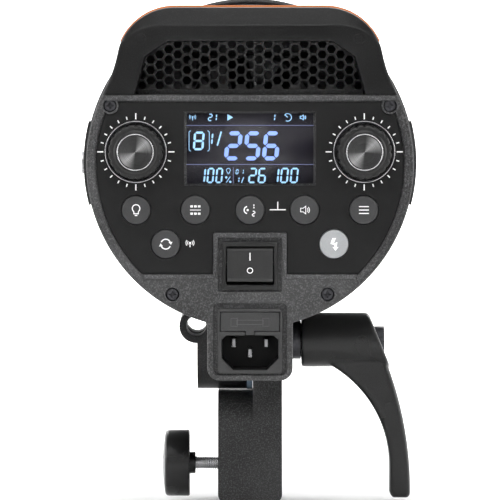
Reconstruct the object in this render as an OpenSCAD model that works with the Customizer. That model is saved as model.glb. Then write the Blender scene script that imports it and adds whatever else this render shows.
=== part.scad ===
// Monolight strobe on a tilting stand bracket.
// Origin: mouth of the stand socket, on its axis. +Z is up, the light shines along +Y
// and the control panel faces -Y. Heights inside head() are measured from the body axis.

/* [Stand bracket] */
// Width of the stand block along the tilt axis
block_w = 28.8; // [28:0.1:32]
// Depth of the stand block, front to rear
block_d = 42; // [40:1:43]
// Height of the tilt axis above the socket mouth
tilt_h = 72.3; // [70:0.1:78]
// Radius of the stand socket, for a 16 mm stud
socket_r = 8.1; // [8:0.05:8.3]
// Depth of the stand socket
socket_depth = 42; // [36:1:44]
// Radius of the tilt bolt
bolt_r = 4; // [3.5:0.5:4]
// Radius of the round knuckle under the head
knuckle_r = 22; // [20:0.5:22]

/* [Head] */
// Height of the body axis above the tilt axis
axis_h = 82.6; // [82.6:0.1:90]
// Outer radius of the main casing
casing_r = 71; // [70.5:0.1:71]
// Wall thickness of the casing and covers
wall = 2.5; // [2:0.1:3]
// Distance of the rear face behind the tilt axis
rear_d = 120; // [118:1:126]
// Depth of the rear cover
cover_d = 30; // [30:1:34]
// Outer radius of the rear cover
cover_r = 69.5; // [69:0.1:70]
// Distance of the casing's front end ahead of the tilt axis
casing_front = 122; // [120:1:130]
// Height of the step under the handle, above the body axis
step_z = 29.8; // [29.6:0.1:30]
// Half width of the rear grille's hexagon holes, across flats
mesh_hole = 1.7; // [1.4:0.1:1.8]
// Vertical pitch of the grille's hexagon holes
mesh_pitch = 4.5; // [4.4:0.1:5]

/* [Controls] */
// Radius of the dial knobs
dial_r = 11.5; // [11:0.1:11.7]
// Distance of each dial from the centre line
dial_x = 48.5; // [48:0.1:49]
// Height of the dials above the body axis
dial_z = 5.6; // [5:0.1:6]
// Radius of the push buttons
button_r = 6.1; // [5.8:0.1:6.1]
// Height of the upper button row
row_z = -19.1; // [-19.4:0.1:-19]
// Angle that the rocker leans each side of level
rocker_lean = 9; // [6:1:9]

/* [Front] */
// Outer radius of the accessory ring
ring_r = 72; // [71.5:0.1:72.5]
// Radius of the accessory throat
throat_r = 50; // [49:0.5:51]
// Outer radius of the glass dome
dome_r = 38; // [37:0.5:38]
// Depth of the accessory ring ahead of the casing
ring_d = 30; // [30:1:34]

/* [Hidden] */
$fn = 72;
e = 0.01;
fit = 0.05;
gap = 0.3;
rear = -rear_d;
cover_front = rear + cover_d;
body_z = tilt_h + axis_h;
block_x = block_w / 2;
ring_front = casing_front + ring_d;
inner_r = casing_r - wall;
face_y = rear + 0.6;
plate_in = rear + 4.4;

// ---------- helpers ----------

module at_tilt() { translate([0, 0, tilt_h]) children(); }
module head() { translate([0, 0, body_z]) children(); }

// Box from its limits along each axis
module slab(x, y, z) {
    translate([x[0], y[0], z[0]]) cube([x[1] - x[0], y[1] - y[0], z[1] - z[0]]);
}
// Cylinders along each axis, from one coordinate to another
module rod_x(r, x0, x1, y = 0, z = 0) {
    translate([x0, y, z]) rotate([0, 90, 0]) cylinder(h = x1 - x0, r = r);
}
module rod_y(r, y0, y1, x = 0, z = 0) {
    translate([x, y0, z]) rotate([-90, 0, 0]) cylinder(h = y1 - y0, r = r);
}
module rod_z(r, z0, z1, x = 0, y = 0) {
    translate([x, y, z0]) cylinder(h = z1 - z0, r = r);
}
// A flat shape drawn in X and Z, filled from y0 to y1
module plate(y0, y1) {
    translate([0, y1, 0]) rotate([90, 0, 0]) linear_extrude(y1 - y0) children();
}
// A flat shape drawn in Y and Z, filled from x0 to x1
module side_plate(x0, x1) {
    translate([x0, 0, 0]) rotate([90, 0, 90]) linear_extrude(x1 - x0) children();
}
// A profile drawn as radius and Y, turned round the Y axis
module turned() { rotate([-90, 0, 0]) rotate_extrude() children(); }

module rect(x, z) { translate([x[0], z[0]]) square([x[1] - x[0], z[1] - z[0]]); }
module round_rect(x, z, r) {
    rect([x[0] + r, x[1] - r], z);
    rect(x, [z[0] + r, z[1] - r]);
    for (cx = [x[0] + r, x[1] - r], cz = [z[0] + r, z[1] - r])
        translate([cx, cz]) circle(r);
}
// Points of an arc about a centre, from angle a0 to a1
function arc(c, r, a0, a1, n = 10) =
    [for (i = [0:n]) let (a = a0 + (a1 - a0) * i / n) [c[0] + r * cos(a), c[1] + r * sin(a)]];
function mirrored(points) = [for (i = [len(points) - 1:-1:0]) [-points[i][0], points[i][1]]];

// A wire coil along +Z, as one closed tube
module coil_spring(r, wire, height, turns) {
    sides = 6;
    steps = turns * 12;
    function ring(i) =
        let (a = 30 * i, z = wire + (height - 2 * wire) * i / steps)
        [for (j = [0:sides - 1])
            let (b = 60 * j, rr = r + wire * cos(b))
            [rr * cos(a), rr * sin(a), z + wire * sin(b)]];
    points = [for (i = [0:steps]) each ring(i)];
    sleeve = [for (i = [0:steps - 1], j = [0:sides - 1])
        let (k = (j + 1) % sides)
        [i * sides + j, (i + 1) * sides + j, (i + 1) * sides + k, i * sides + k]];
    ends = [[for (j = [0:sides - 1]) j],
            [for (j = [sides - 1:-1:0]) steps * sides + j]];
    polyhedron(points, concat(sleeve, ends));
}

// ---------- stand block and clamp ----------

clamp_z = 16.4;
screw_r = 2.95;
pad_r = 5;
pad_x = [-10.9, -8.3];
seat_x = 1.3;
neck_r = 10.8;
shoulder_z = tilt_h - 22.6;
ramp_z = tilt_h - 35.4;

module block_outline() {
    corner = 4;
    rect([-block_x, block_x], [corner, tilt_h + neck_r]);
    rect([corner - block_x, block_x - corner], [0, corner + e]);
    for (x = [corner - block_x, block_x - corner]) translate([x, corner]) circle(corner);
}
module low_side() {
    d = block_d / 2;
    rise = shoulder_z - ramp_z;
    r = (rise * rise + (d - 10) * (d - 10)) / (2 * (d - 10));
    ramp = arc([d - r, ramp_z], r, 0, asin(rise / r), 10);
    polygon(concat([[-d, 0], [d, 0]], ramp, mirrored(ramp)));
}
module tall_side() {
    d = block_d / 2;
    polygon([[-d, 0], [d, 0], [d, shoulder_z], [neck_r, tilt_h], [-neck_r, tilt_h],
             [-d, shoulder_z]]);
    translate([0, tilt_h]) circle(neck_r);
}
module stand_block() {
    color([0.09, 0.09, 0.1]) difference() {
        intersection() {
            union() {
                side_plate(-block_x, seat_x) low_side();
                side_plate(seat_x, block_x) tall_side();
            }
            plate(-block_d, block_d) block_outline();
        }
        rod_z(socket_r, -1, socket_depth);
        rod_x(screw_r + fit, -block_x - 1, 0, 0, clamp_z);
        rod_x(pad_r + fit, pad_x[0] - gap, 0, 0, clamp_z);
        at_tilt() rod_x(bolt_r, 0, block_x + 1);
    }
}
module pressure_pad() {
    color("goldenrod") difference() {
        rod_x(pad_r, pad_x[0], pad_x[1], 0, clamp_z);
        rod_x(1.56, pad_x[0] - 1, pad_x[0] + 1.4, 0, clamp_z);
    }
}
module clamp_screw() {
    color("silver") {
        rod_x(screw_r, -34, pad_x[0] - 0.1, 0, clamp_z);
        rod_x(1.5, pad_x[0] - 0.1 - e, pad_x[0] + 1.2, 0, clamp_z);
    }
}
module clamp_knob() {
    knob_r = 15.1;
    color([0.08, 0.08, 0.09]) translate([0, 0, clamp_z]) difference() {
        union() {
            intersection() {
                rod_x(knob_r, -39.7, -27.3);
                translate([35.3, 0, 0]) sphere(75, $fn = 96);
            }
            rod_x(4.9, -28, -24.7);
        }
        rod_x(screw_r, -34, -20);
    }
}

// ---------- tilt joint and lever ----------

insert_x = [23, 36];
hub_r = 12.3;
hub_x = 23.2;
screw_head_x = [52, 60.8];

module tilt_bolt() {
    color("silver") at_tilt() {
        translate([-18.9, 0, 0]) rotate([0, 90, 0]) cylinder(h = 5, r = 6.5, $fn = 6);
        rod_x(bolt_r, -14, 29);
    }
}
module friction_disc() {
    color([0.4, 0.5, 0.6]) difference() {
        at_tilt() rod_x(22.3, -1.4, seat_x - 0.1);
        at_tilt() rod_x(bolt_r + gap, -3, 3);
        head() rod_y(casing_r, -40, 40);
    }
}
module lever_collar() {
    color([0.1, 0.1, 0.11]) at_tilt() difference() {
        rod_x(8.7, block_x + gap, insert_x[0]);
        rod_x(bolt_r + fit, block_x, insert_x[0] + 1);
    }
}
// Toothed bush: the core and its twelve splines, grown by a clearance
module spline_shape(grow = 0) {
    circle(6.8 + grow);
    for (i = [0:11]) rotate(30 * i) rect([5, 7.6 + grow], [-0.8 - grow, 0.8 + grow]);
}
module lever_insert() {
    color("gray") at_tilt() difference() {
        side_plate(insert_x[0], insert_x[1]) spline_shape();
        rod_x(bolt_r + fit, insert_x[0] - 1, 30);
        rod_x(2.5, 29, insert_x[1] + 1);
    }
}
module lever_screw() {
    color([0.1, 0.1, 0.11]) at_tilt() {
        rod_x(2.5, 31, screw_head_x[0] + e);
        rod_x(6.2, screw_head_x[0], screw_head_x[1]);
    }
}
module lever_spring() {
    color("silver") at_tilt() translate([39.2, 0, 0]) rotate([0, 90, 0])
        coil_spring(4.9, 0.5, screw_head_x[0] - 39.4, 6);
}
lever_inner = concat(arc([9.9, -57.5], 53.3, 58.4, 0, 12), [[63.2, -70.4]]);
lever_outer = concat([[72.3, -71.4], [72.6, -70.4]], arc([-89.1, -67.7], 161.7, -0.8, 21.4, 10));

module lever() {
    color([0.08, 0.08, 0.09]) at_tilt() difference() {
        union() {
            intersection() {
                rod_x(hub_r, hub_x, 64);
                plate(-20, 20) polygon([[0, -20], [66.1, -20], [49.9, 20], [0, 20]]);
            }
            plate(-7.5, 7.5) polygon(concat([[40, -7.6]], lever_inner, lever_outer,
                                            [[57, -7.6]]));
        }
        side_plate(hub_x - 1, 37) spline_shape(gap);
        rod_x(2.5 + gap, 30, 45);
        rod_x(6.5, 39, 70);
    }
}

// ---------- head bracket ----------

ring_x = -24.1;
ring_z = -75;
saddle_x = 26;
saddle_y = 40;
seat_z = 0.6 - casing_r;
screw_spots = [for (x = [-15, 15], y = [-32, 32]) [x, y]];

module head_bracket() {
    color([0.1, 0.1, 0.11]) difference() {
        union() {
            head() intersection() {
                rod_y(casing_r + 3, -saddle_y, saddle_y);
                slab([-saddle_x, saddle_x], [-saddle_y, saddle_y], [-casing_r - 4, -40]);
            }
            at_tilt() rod_x(knuckle_r, -23.7, -1.4);
            at_tilt() slab([-23.7, -1.4], [-knuckle_r, knuckle_r], [0, 16]);
            head() rod_y(7.6, -knuckle_r, knuckle_r, ring_x, ring_z);
        }
        head() rod_y(casing_r, -saddle_y - 1, saddle_y + 1);
        at_tilt() slab([-1.4, 15.2], [-knuckle_r, knuckle_r], [-5, 40]);
        head() rod_y(4.5, -30, 30, ring_x, ring_z);
        at_tilt() rod_x(bolt_r + fit, -30, 0);
        at_tilt() rod_x(7, -30, -13.8);
        for (p = screw_spots) head() rod_z(2.1, -80, -50, p[0], p[1]);
        for (p = screw_spots) head() rod_z(3.8, -80, seat_z, p[0], p[1]);
    }
}
module bracket_screws() {
    color("silver") head() for (p = screw_spots) difference() {
        union() {
            rod_z(2, seat_z - e, -64, p[0], p[1]);
            rod_z(3.5, seat_z - 2.5, seat_z, p[0], p[1]);
        }
        translate([p[0], p[1], seat_z - 3.5]) cylinder(h = 2.4, r = 1.6, $fn = 6);
    }
}

// ---------- shells ----------

vents = [for (i = [0:10]) -56 + 9 * i];
panel_y = [-86, 60];
jack_y = -72;

module vent_cuts(x) {
    for (y = vents) slab([x - 8, x + 8], [y, y + 4], [-12, 12]);
}
module main_casing() {
    color([0.1, 0.1, 0.11]) head() difference() {
        rod_y(casing_r, cover_front, casing_front);
        rod_y(inner_r, cover_front - 1, casing_front + 1);
        for (x = [-casing_r, casing_r]) vent_cuts(x);
        rod_x(4.05, -80, -50, jack_y, 0);
        for (p = screw_spots) rod_z(2.1, -80, -50, p[0], p[1]);
    }
}
module side_panel(side) {
    color([0.12, 0.12, 0.13]) head() difference() {
        intersection() {
            rod_y(casing_r + 1.1, panel_y[0], panel_y[1]);
            slab(side > 0 ? [60, 80] : [-80, -60], panel_y, [-18, 18]);
        }
        rod_y(casing_r, panel_y[0] - 1, panel_y[1] + 1);
        vent_cuts(side * casing_r);
        if (side < 0) rod_x(4.05, -80, -50, jack_y, 0);
    }
}
module side_panel_left() { side_panel(-1); }
module side_panel_right() { side_panel(1); }

module sync_jack() {
    color("gray") head() difference() {
        union() {
            rod_x(4, -72.4, -58, jack_y, 0);
            rod_x(5, -73.4, -72.3, jack_y, 0);
        }
        rod_x(1.8, -80, -60, jack_y, 0);
    }
}

switch_z = [-53.8, -30.6];
inlet_z = [-89.5, -59];
bump_x = 18.2;
bump_z = -91.8;
housing_top = -58;
panel_screws = [for (x = [-59.4, 59.4]) [x, 25.2]];
lower_screws = [for (x = [-33, 33]) [x, -55]];
button_spots = [[-48.4, row_z], [-23.2, row_z], [0, row_z], [23.2, row_z], [48.4, row_z],
                [-35.8, -33.6], [35.7, -33.6]];

// Rear outline: a circle cut flat under the handle, with the inlet housing below
module cover_disc(inset = 0) {
    intersection() {
        circle(cover_r - inset, $fn = 120);
        rect([-90, 90], [-90, step_z - inset]);
    }
}
module inlet_bump(inset = 0) {
    round_rect([inset - bump_x, bump_x - inset], [bump_z + inset, -50], 5.3 - inset);
}
module inlet_housing() {
    color([0.11, 0.11, 0.12]) head() difference() {
        plate(rear, cover_front) difference() {
            inlet_bump();
            rect([-20, 20], [housing_top, -40]);
        }
        plate(plate_in, cover_front - wall) inlet_bump(wall);
        plate(rear - 1, rear + 2.4) round_rect([-15.4, 15.4], inlet_z, 2.5);
        plate(rear - 1, rear + 5) rect([-13.1, 13.1], [-88.1, -61.9]);
    }
}
module fascia_outline(grow = 0) {
    difference() {
        intersection() {
            circle(65.2 + grow, $fn = 120);
            rect([-80, 80], [-46.3 - grow, 26.7 + grow]);
        }
        rect([grow - 15.8, 15.8 - grow], [-60, -28.5 - grow]);
        for (p = panel_screws) translate(p) circle(3.6 - grow);
    }
}
module rear_cover() {
    color([0.11, 0.11, 0.12]) head() difference() {
        plate(rear, cover_front) difference() {
            cover_disc();
            rect([-bump_x, bump_x], [-90, housing_top]);
        }
        plate(plate_in, cover_front + 1) cover_disc(wall);
        plate(rear - 1, rear + 1.8) fascia_outline(0.1);
        plate(rear - 1, rear + 2) rect([-13.4, 13.4], switch_z);
        plate(rear - 1, rear + 5) rect([-10.9, 10.9], [-52, -33.7]);
        plate(rear, rear + 5) rect([-27, 27], [-8, 22]);
        for (x = [-dial_x, dial_x]) rod_y(4.5, rear, rear + 5, x, dial_z);
        for (p = button_spots) rod_y(6.4, rear, rear + 5, p[0], p[1]);
        for (p = concat(panel_screws, lower_screws)) {
            rod_y(2.9, rear - 1, rear + 1.8, p[0], p[1]);
            rod_y(1.3, rear, rear + 5, p[0], p[1]);
        }
    }
}
module cover_screws() {
    color("dimgray") head() for (p = concat(panel_screws, lower_screws)) difference() {
        union() {
            rod_y(2.7, rear + 0.3, rear + 1.8, p[0], p[1]);
            rod_y(1.3, rear + 1.7, rear + 12, p[0], p[1]);
        }
        slab([p[0] - 1.5, p[0] + 1.5], [rear, rear + 1.1], [p[1] - 0.25, p[1] + 0.25]);
        slab([p[0] - 0.25, p[0] + 0.25], [rear, rear + 1.1], [p[1] - 1.5, p[1] + 1.5]);
    }
}

module case_screws() {
    bracket_screws();
    cover_screws();
}

// ---------- handle and grille ----------

grille_y = [cover_front + 0, cover_front + 2];
bar_front = rear + 16;
foot_x = sqrt(cover_r * cover_r - step_z * step_z);
outer_right = concat([[foot_x, step_z], [59.8, 36]], arc([32, 42], 25, 16.3, 90, 12));
outer_edge = concat(outer_right, mirrored(outer_right));
opening = [[49, step_z - 1], [44.5, 46], [35, 52.4], [-35, 52.4], [-44.5, 46],
           [-49, step_z - 1]];

module handle() {
    color([0.1, 0.1, 0.11]) head() difference() {
        plate(rear, cover_front) polygon(outer_edge);
        plate(rear - 1, cover_front + 1) polygon(opening);
        // top slopes down to the casing, ahead of the bar
        side_plate(-90, 90) polygon([[bar_front, 80], [bar_front, 51], [cover_front + 1, 38],
                                     [cover_front + 1, 80]]);
        // bevel along the top of the rear face
        side_plate(-90, 90) polygon([[rear - 1, 58.4], [rear + 7.2, 68], [rear - 1, 68]]);
        for (x = [-46.3, 46.3]) rod_y(2.35, rear - 1, rear + 1.5, x, 53.6);
    }
}
module handle_plugs() {
    color([0.08, 0.08, 0.09]) head() for (x = [-46.3, 46.3])
        rod_y(2.3, rear + 0.15, rear + 1.5, x, 53.6);
}
module handle_trim() {
    over = arc([32, 42], 25.9, 24, 90, 12);
    under = arc([32, 42], 23.9, 90, 24, 12);
    color("darkorange") head() plate(bar_front, bar_front + 2.4)
        polygon(concat(over, mirrored(over), mirrored(under), under));
}
module rear_grille() {
    column = mesh_pitch * sqrt(3) / 2;
    rim = 2;
    edge = inner_r - rim;
    color([0.14, 0.14, 0.15]) head() plate(grille_y[0], grille_y[1]) difference() {
        intersection() {
            circle(inner_r, $fn = 120);
            rect([-80, 80], [step_z, 80]);
        }
        for (i = [-15:15], j = [0:9]) {
            x = i * column;
            z = step_z + 3.6 + mesh_pitch * (j + (abs(i) % 2) / 2);
            if (norm([x, z]) + 2 < edge) translate([x, z]) circle(mesh_hole / cos(30), $fn = 6);
        }
    }
}

// ---------- control panel ----------

module control_panel() {
    color([0.16, 0.16, 0.17]) head() plate(face_y, rear + 1.8) difference() {
        fascia_outline();
        rect([-28, 28], [-8.8, 22.8]);
        for (x = [-dial_x, dial_x]) translate([x, dial_z]) circle(12.2);
        for (p = button_spots) translate(p) circle(6.4);
    }
}
module lcd_window() {
    color([0.05, 0.05, 0.08, 0.5]) head()
        plate(face_y, rear + 1.8) rect([-28, 28], [-8.8, 22.8]);
}
module lcd_module() {
    color([0.15, 0.15, 0.25]) head() {
        plate(plate_in + 0.1, rear + 9) rect([-30, 30], [-10.5, 24.5]);
        plate(rear + 2.6, plate_in + 0.2) rect([-26.8, 26.8], [-7.8, 21.8]);
    }
}
board_y = [rear + 12, rear + 13.6];
module control_board() {
    encoders();
    color("darkgreen") head() {
        plate(board_y[0], board_y[1]) difference() {
            intersection() {
                circle(62);
                rect([-70, 70], [-42, 26]);
            }
            rect([-14, 14], [-50, -30]);
        }
        for (p = button_spots)
            slab([p[0] - 3, p[0] + 3], [board_y[0] - 3.6, board_y[0] + e], [p[1] - 3, p[1] + 3]);
    }
}
module encoders() {
    color("silver") head() for (x = [-dial_x, dial_x]) difference() {
        union() {
            slab([x - 6, x + 6], [board_y[0] - 6, board_y[0] + e], [dial_z - 6, dial_z + 6]);
            rod_y(4.4, rear + 2, board_y[0] - 5, x, dial_z);
        }
        rod_y(3 + fit, rear, board_y[0] - 1, x, dial_z);
    }
}
module dial_bezels() {
    color("silver") head() for (x = [-dial_x, dial_x]) difference() {
        rod_y(13.2, rear - 0.4, face_y, x, dial_z);
        rod_y(12.2, rear - 1, rear + 2, x, dial_z);
    }
}
module dial(x) {
    knob_y = [rear - 8, rear + 1.4];
    color([0.09, 0.09, 0.1]) head() difference() {
        union() {
            rod_y(dial_r, knob_y[0], knob_y[1], x, dial_z);
            rod_y(3, knob_y[1] - e, board_y[0] - 2, x, dial_z);
        }
        for (i = [0:19]) rod_y(0.7, knob_y[0] - 1, knob_y[1] - 2,
                               x + (dial_r + 0.3) * cos(18 * i), dial_z + (dial_r + 0.3) * sin(18 * i));
        rod_y(8, knob_y[0] - 1, knob_y[0] + 1, x, dial_z);
    }
}
module dial_left() { dial(-dial_x); }
module dial_right() { dial(dial_x); }
module dial_cap(x) {
    color([0.35, 0.35, 0.36]) head() difference() {
        rod_y(8, rear - 8.2, rear - 7, x, dial_z);
        rod_y(7, rear - 9, rear - 7.8, x, dial_z);
    }
}
module dial_cap_left() { dial_cap(-dial_x); }
module dial_cap_right() { dial_cap(dial_x); }

module push_button(i, shade) {
    p = button_spots[i];
    color(shade) head() {
        rod_y(button_r, rear + 0.2, board_y[0] - 4.5, p[0], p[1]);
        rod_y(7.2, plate_in + gap, plate_in + 1.3, p[0], p[1]);
    }
}
module button_lamp() { push_button(0, [0.3, 0.3, 0.31]); }
module button_group() { push_button(1, [0.3, 0.3, 0.31]); }
module button_slave() { push_button(2, [0.3, 0.3, 0.31]); }
module button_sound() { push_button(3, [0.3, 0.3, 0.31]); }
module button_menu() { push_button(4, [0.3, 0.3, 0.31]); }
module button_mode() { push_button(5, [0.3, 0.3, 0.31]); }
module button_flash() { push_button(6, [0.8, 0.8, 0.8]); }

// ---------- rocker switch ----------

rocker_z = -42.75;
pivot_y = rear + 3;
pin_r = 1.2;

module switch_frame() {
    color([0.09, 0.09, 0.1]) head() difference() {
        union() {
            plate(rear + 0.2, rear + 2) rect([-11.9, 11.9], [-53.1, -32.6]);
            plate(rear + 1.9, rear + 18) rect([-10.8, 10.8], [-51.9, -33.8]);
        }
        plate(rear - 1, rear + 14) rect([-10.1, 10.1], [-50.9, -34.6]);
        rod_x(pin_r + fit, -15, 15, pivot_y, rocker_z);
    }
}
module switch_rocker() {
    color([0.09, 0.09, 0.1]) head() translate([0, pivot_y, rocker_z])
        rotate([-rocker_lean, 0, 0]) {
            side_plate(-9.7, 9.7) polygon([[-4.2, 6], [-3.4, 7.3], [3.5, 7.3], [5, 0],
                                           [3.5, -7.3], [-3.4, -7.3], [-4.2, -6], [-3, 0]]);
            rod_x(pin_r, -10.7, 10.7);
        }
}

// ---------- mains inlet ----------

inlet_face = rear + 0.4;
drawer_z = [-70.6, -62.7];
fuse_y = rear + 17;
pins = [[-7, -76], [7, -76], [0, -80.5]];

module socket_shape() {
    polygon([[-12.1, -82.4], [-7.2, -87.3], [7.2, -87.3], [12.1, -82.4], [12.1, -74.5],
             [10.1, -72.5], [-10.1, -72.5], [-12.1, -74.5]]);
    rect([-2.1, 2.1], [-73, -70]);
}
module blades(y0, y1) {
    for (p = pins) plate(y0, y1) rect([p[0] - 1, p[0] + 1], [p[1] - 2, p[1] + 2]);
}
module inlet_body() {
    color([0.12, 0.12, 0.13]) head() difference() {
        union() {
            plate(inlet_face, rear + 2.4) round_rect([-13.8, 13.8], [-88.8, -61.1], 2);
            plate(rear + 2.3, rear + 27) rect([-13, 13], [-88, -62]);
        }
        plate(rear - 1, rear + 18) socket_shape();
        plate(rear - 1, rear + 24) rect([-12.8, 12.8], [-70.9, -62.4]);
        blades(rear, rear + 40);
    }
}
module inlet_pins() { color("silver") head() blades(rear + 4, rear + 27.2); }
module fuse_drawer() {
    color([0.13, 0.13, 0.14]) head() difference() {
        union() {
            plate(rear + 0.1, rear + 22) rect([-12.5, 12.5], drawer_z);
            plate(rear + 0.1, rear + 2) rect([-1.8, 1.8], [-72.3, -70.5]);
        }
        rod_x(2.7, -10.4, 10.4, fuse_y, -66);
        slab([-10.4, 10.4], [fuse_y - 2.7, fuse_y + 2.7], [-66, -60]);
    }
}
module fuse() { color("silver") head() rod_x(2.6, -10, 10, fuse_y, -66); }

// ---------- fan and electronics ----------

fan_z = 18;
fan_y = [-84, -69];

module fan_frame() {
    color([0.1, 0.1, 0.1]) head() translate([0, 0, fan_z]) difference() {
        union() {
            difference() {
                plate(fan_y[0], fan_y[1]) round_rect([-30, 30], [-30, 30], 4);
                rod_y(28.5, fan_y[0] - 1, fan_y[1] + 1);
            }
            rod_y(12, fan_y[1] - 2, fan_y[1]);
            for (a = [45, 135]) rotate([0, a, 0])
                slab([-29, 29], [fan_y[1] - 2, fan_y[1]], [-1.5, 1.5]);
            rod_y(3, fan_y[1] - 8, fan_y[1] - 1);
        }
        rod_y(1.55, fan_y[1] - 9, fan_y[1] - 1);
        for (x = [-25, 25], z = [-25, 25]) rod_y(2.1, fan_y[0] - 1, fan_y[1] + 1, x, z);
    }
}
module fan_rotor() {
    color([0.15, 0.15, 0.16]) head() translate([0, 0, fan_z]) difference() {
        union() {
            rod_y(12.5, fan_y[0] + 1, fan_y[1] - 2.5);
            intersection() {
                rod_y(27.6, fan_y[0] + 1, fan_y[1] - 2.5);
                for (i = [0:6]) rotate([0, i * 360 / 7, 0]) translate([0, fan_y[0] + 7, 0])
                    rotate([35, 0, 0]) slab([11, 30], [-10, 10], [-0.6, 0.6]);
            }
        }
        difference() {
            rod_y(10.5, fan_y[0] + 2.5, fan_y[1]);
            rod_y(1.5, fan_y[0], fan_y[1] - 1.5);
        }
    }
}
tray_z = [-44, -42];
board_z = [-37, -35.4];
module chassis() {
    color("silver") head() {
        slab([-50, 50], [-82, 106], tray_z);
        difference() {
            rod_y(inner_r - 1, 106, 108);
            rod_y(5, 100, 110, 20, -20);
        }
    }
}
module power_board() {
    color("darkgreen") head() {
        slab([-46, 46], [-66, 100], board_z);
        for (x = [-42, 42], y = [-62, 96]) rod_z(3, tray_z[1], board_z[0] + e, x, y);
    }
}
module capacitors() {
    color([0.1, 0.1, 0.3]) head() for (x = [-33, 0, 33], z = [-19.5, 12.5])
        rod_y(15, -62, 18, x, z);
}
module heat_sink() {
    color("silver") head() {
        slab([-40, 24], [32, 92], [board_z[1], board_z[1] + 5]);
        for (i = [0:9]) slab([-40 + 6.8 * i, -37.2 + 6.8 * i], [32, 92],
                             [board_z[1] + 4.9, board_z[1] + 36]);
    }
}

// ---------- front ----------

lip_y = [ring_front - 6, ring_front];
pan_y = [110, ring_front - 13];
base_y = 119.5;
lock_pin_x = 66;
slot_y = [124, 142];

module lug_notch() {
    for (i = [0:2]) rotate(30 + 120 * i) polygon([[0, 0], [90, -27], [90, 27]]);
}
module front_ring() {
    color([0.1, 0.1, 0.11]) head() difference() {
        union() {
            rod_y(ring_r, casing_front, lip_y[0]);
            rod_y(inner_r - 0.1, casing_front - 12, casing_front + 1);
        }
        rod_y(58.5, casing_front - 13, pan_y[1]);
        rod_y(57.5, pan_y[1] - 1, lip_y[0] + 1);
        slab([63, 80], slot_y, [-6, 6]);
        rod_y(2 + fit, slot_y[1] - 1, lip_y[0] + 1, lock_pin_x, 0);
    }
}
module bayonet_ring() {
    color([0.14, 0.14, 0.15]) head() difference() {
        rod_y(ring_r, lip_y[0], lip_y[1]);
        rod_y(throat_r, lip_y[0] - 1, lip_y[1] + 1);
        plate(lip_y[0] - 1, lip_y[1] + 1) intersection() {
            circle(56.5);
            lug_notch();
        }
        rod_y(2 + fit, lip_y[0] - 1, lip_y[1] + 1, lock_pin_x, 0);
    }
}
module lock_slider() {
    color([0.2, 0.2, 0.21]) head() {
        slab([63.3, 72.4], [135.5, 141.7], [-5.7, 5.7]);
        slab([72.3, 75], [128, 141.7], [-7, 7]);
        for (i = [0:3]) slab([74.9, 75.6], [129.5 + 3 * i, 131 + 3 * i], [-6, 6]);
        rod_y(2, 141.6, ring_front + 3, lock_pin_x, 0);
    }
}
module lock_spring() {
    color("silver") head() translate([67, 124.2, 0]) rotate([-90, 0, 0])
        coil_spring(3.2, 0.4, 11, 6);
}
module reflector_pan() {
    color("white") head() difference() {
        turned() polygon([[0, 118], [44, 118], [57.4, pan_y[1]], [56, pan_y[1]],
                          [43.2, base_y], [0, base_y]]);
        for (x = [-8, 8]) rod_y(2, 100, 130, x, -24.7);
    }
}
module lamp_socket() {
    color("ivory") head() difference() {
        rod_y(34, base_y, base_y + 7);
        rod_y(16.5, base_y - 1, base_y + 8);
        for (x = [-8, 8]) rod_y(3.9, base_y - 1, base_y + 8, x, -24.7);
    }
}
module led_module() {
    color("gold") head() {
        rod_y(16, base_y, base_y + 4);
        slab([-9, 9], [base_y + 3.9, base_y + 5.5], [-9, 9]);
    }
}
module flash_tube() {
    tube_y = 140;
    color([0.9, 0.9, 0.8, 0.6]) head() {
        difference() {
            translate([0, tube_y, 0]) turned() translate([26, 0]) circle(4);
            slab([-8, 8], [130, 150], [-40, 0]);
        }
        for (x = [-8, 8]) rod_y(3.8, base_y, tube_y, x, -24.7);
    }
}
module glass_dome() {
    round_y = 142;
    glass = 2;
    color([0.95, 0.95, 0.95, 0.5]) head() difference() {
        union() {
            rod_y(dome_r, base_y, round_y);
            translate([0, round_y, 0]) sphere(dome_r, $fn = 96);
        }
        rod_y(dome_r - glass, base_y - 1, round_y);
        translate([0, round_y, 0]) sphere(dome_r - glass, $fn = 96);
        slab([-50, 50], [80, base_y], [-50, 50]);
    }
}

// ---------- drawn parts ----------

stand_block();
tilt_bolt();
friction_disc();
lever();
lever_collar();
lever_insert();
lever_spring();
lever_screw();
clamp_knob();
clamp_screw();
pressure_pad();
head_bracket();
main_casing();
side_panel_left();
side_panel_right();
rear_cover();
inlet_housing();
handle();
handle_trim();
handle_plugs();
rear_grille();
case_screws();
control_panel();
lcd_window();
lcd_module();
control_board();
dial_bezels();
dial_left();
dial_right();
dial_cap_left();
dial_cap_right();
button_lamp();
button_group();
button_slave();
button_sound();
button_menu();
button_mode();
button_flash();
switch_frame();
switch_rocker();
inlet_body();
inlet_pins();
fuse_drawer();
fuse();
fan_frame();
fan_rotor();
chassis();
power_board();
capacitors();
heat_sink();
front_ring();
bayonet_ring();
lock_slider();
lock_spring();
reflector_pan();
lamp_socket();
led_module();
flash_tube();
glass_dome();
sync_jack();
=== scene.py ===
"""Looks for the monolight strobe: rear panel, handle, bracket, lever, front end, floor and light.

Lengths in this file are millimetres unless a name ends in _m. X and Z of the head's pieces are
measured from the body axis, and Y from the tilt axis, as in the CAD model.
"""

import math

import bmesh
import bpy
from mathutils import Matrix, Vector
from mathutils.geometry import delaunay_2d_cdt


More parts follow.
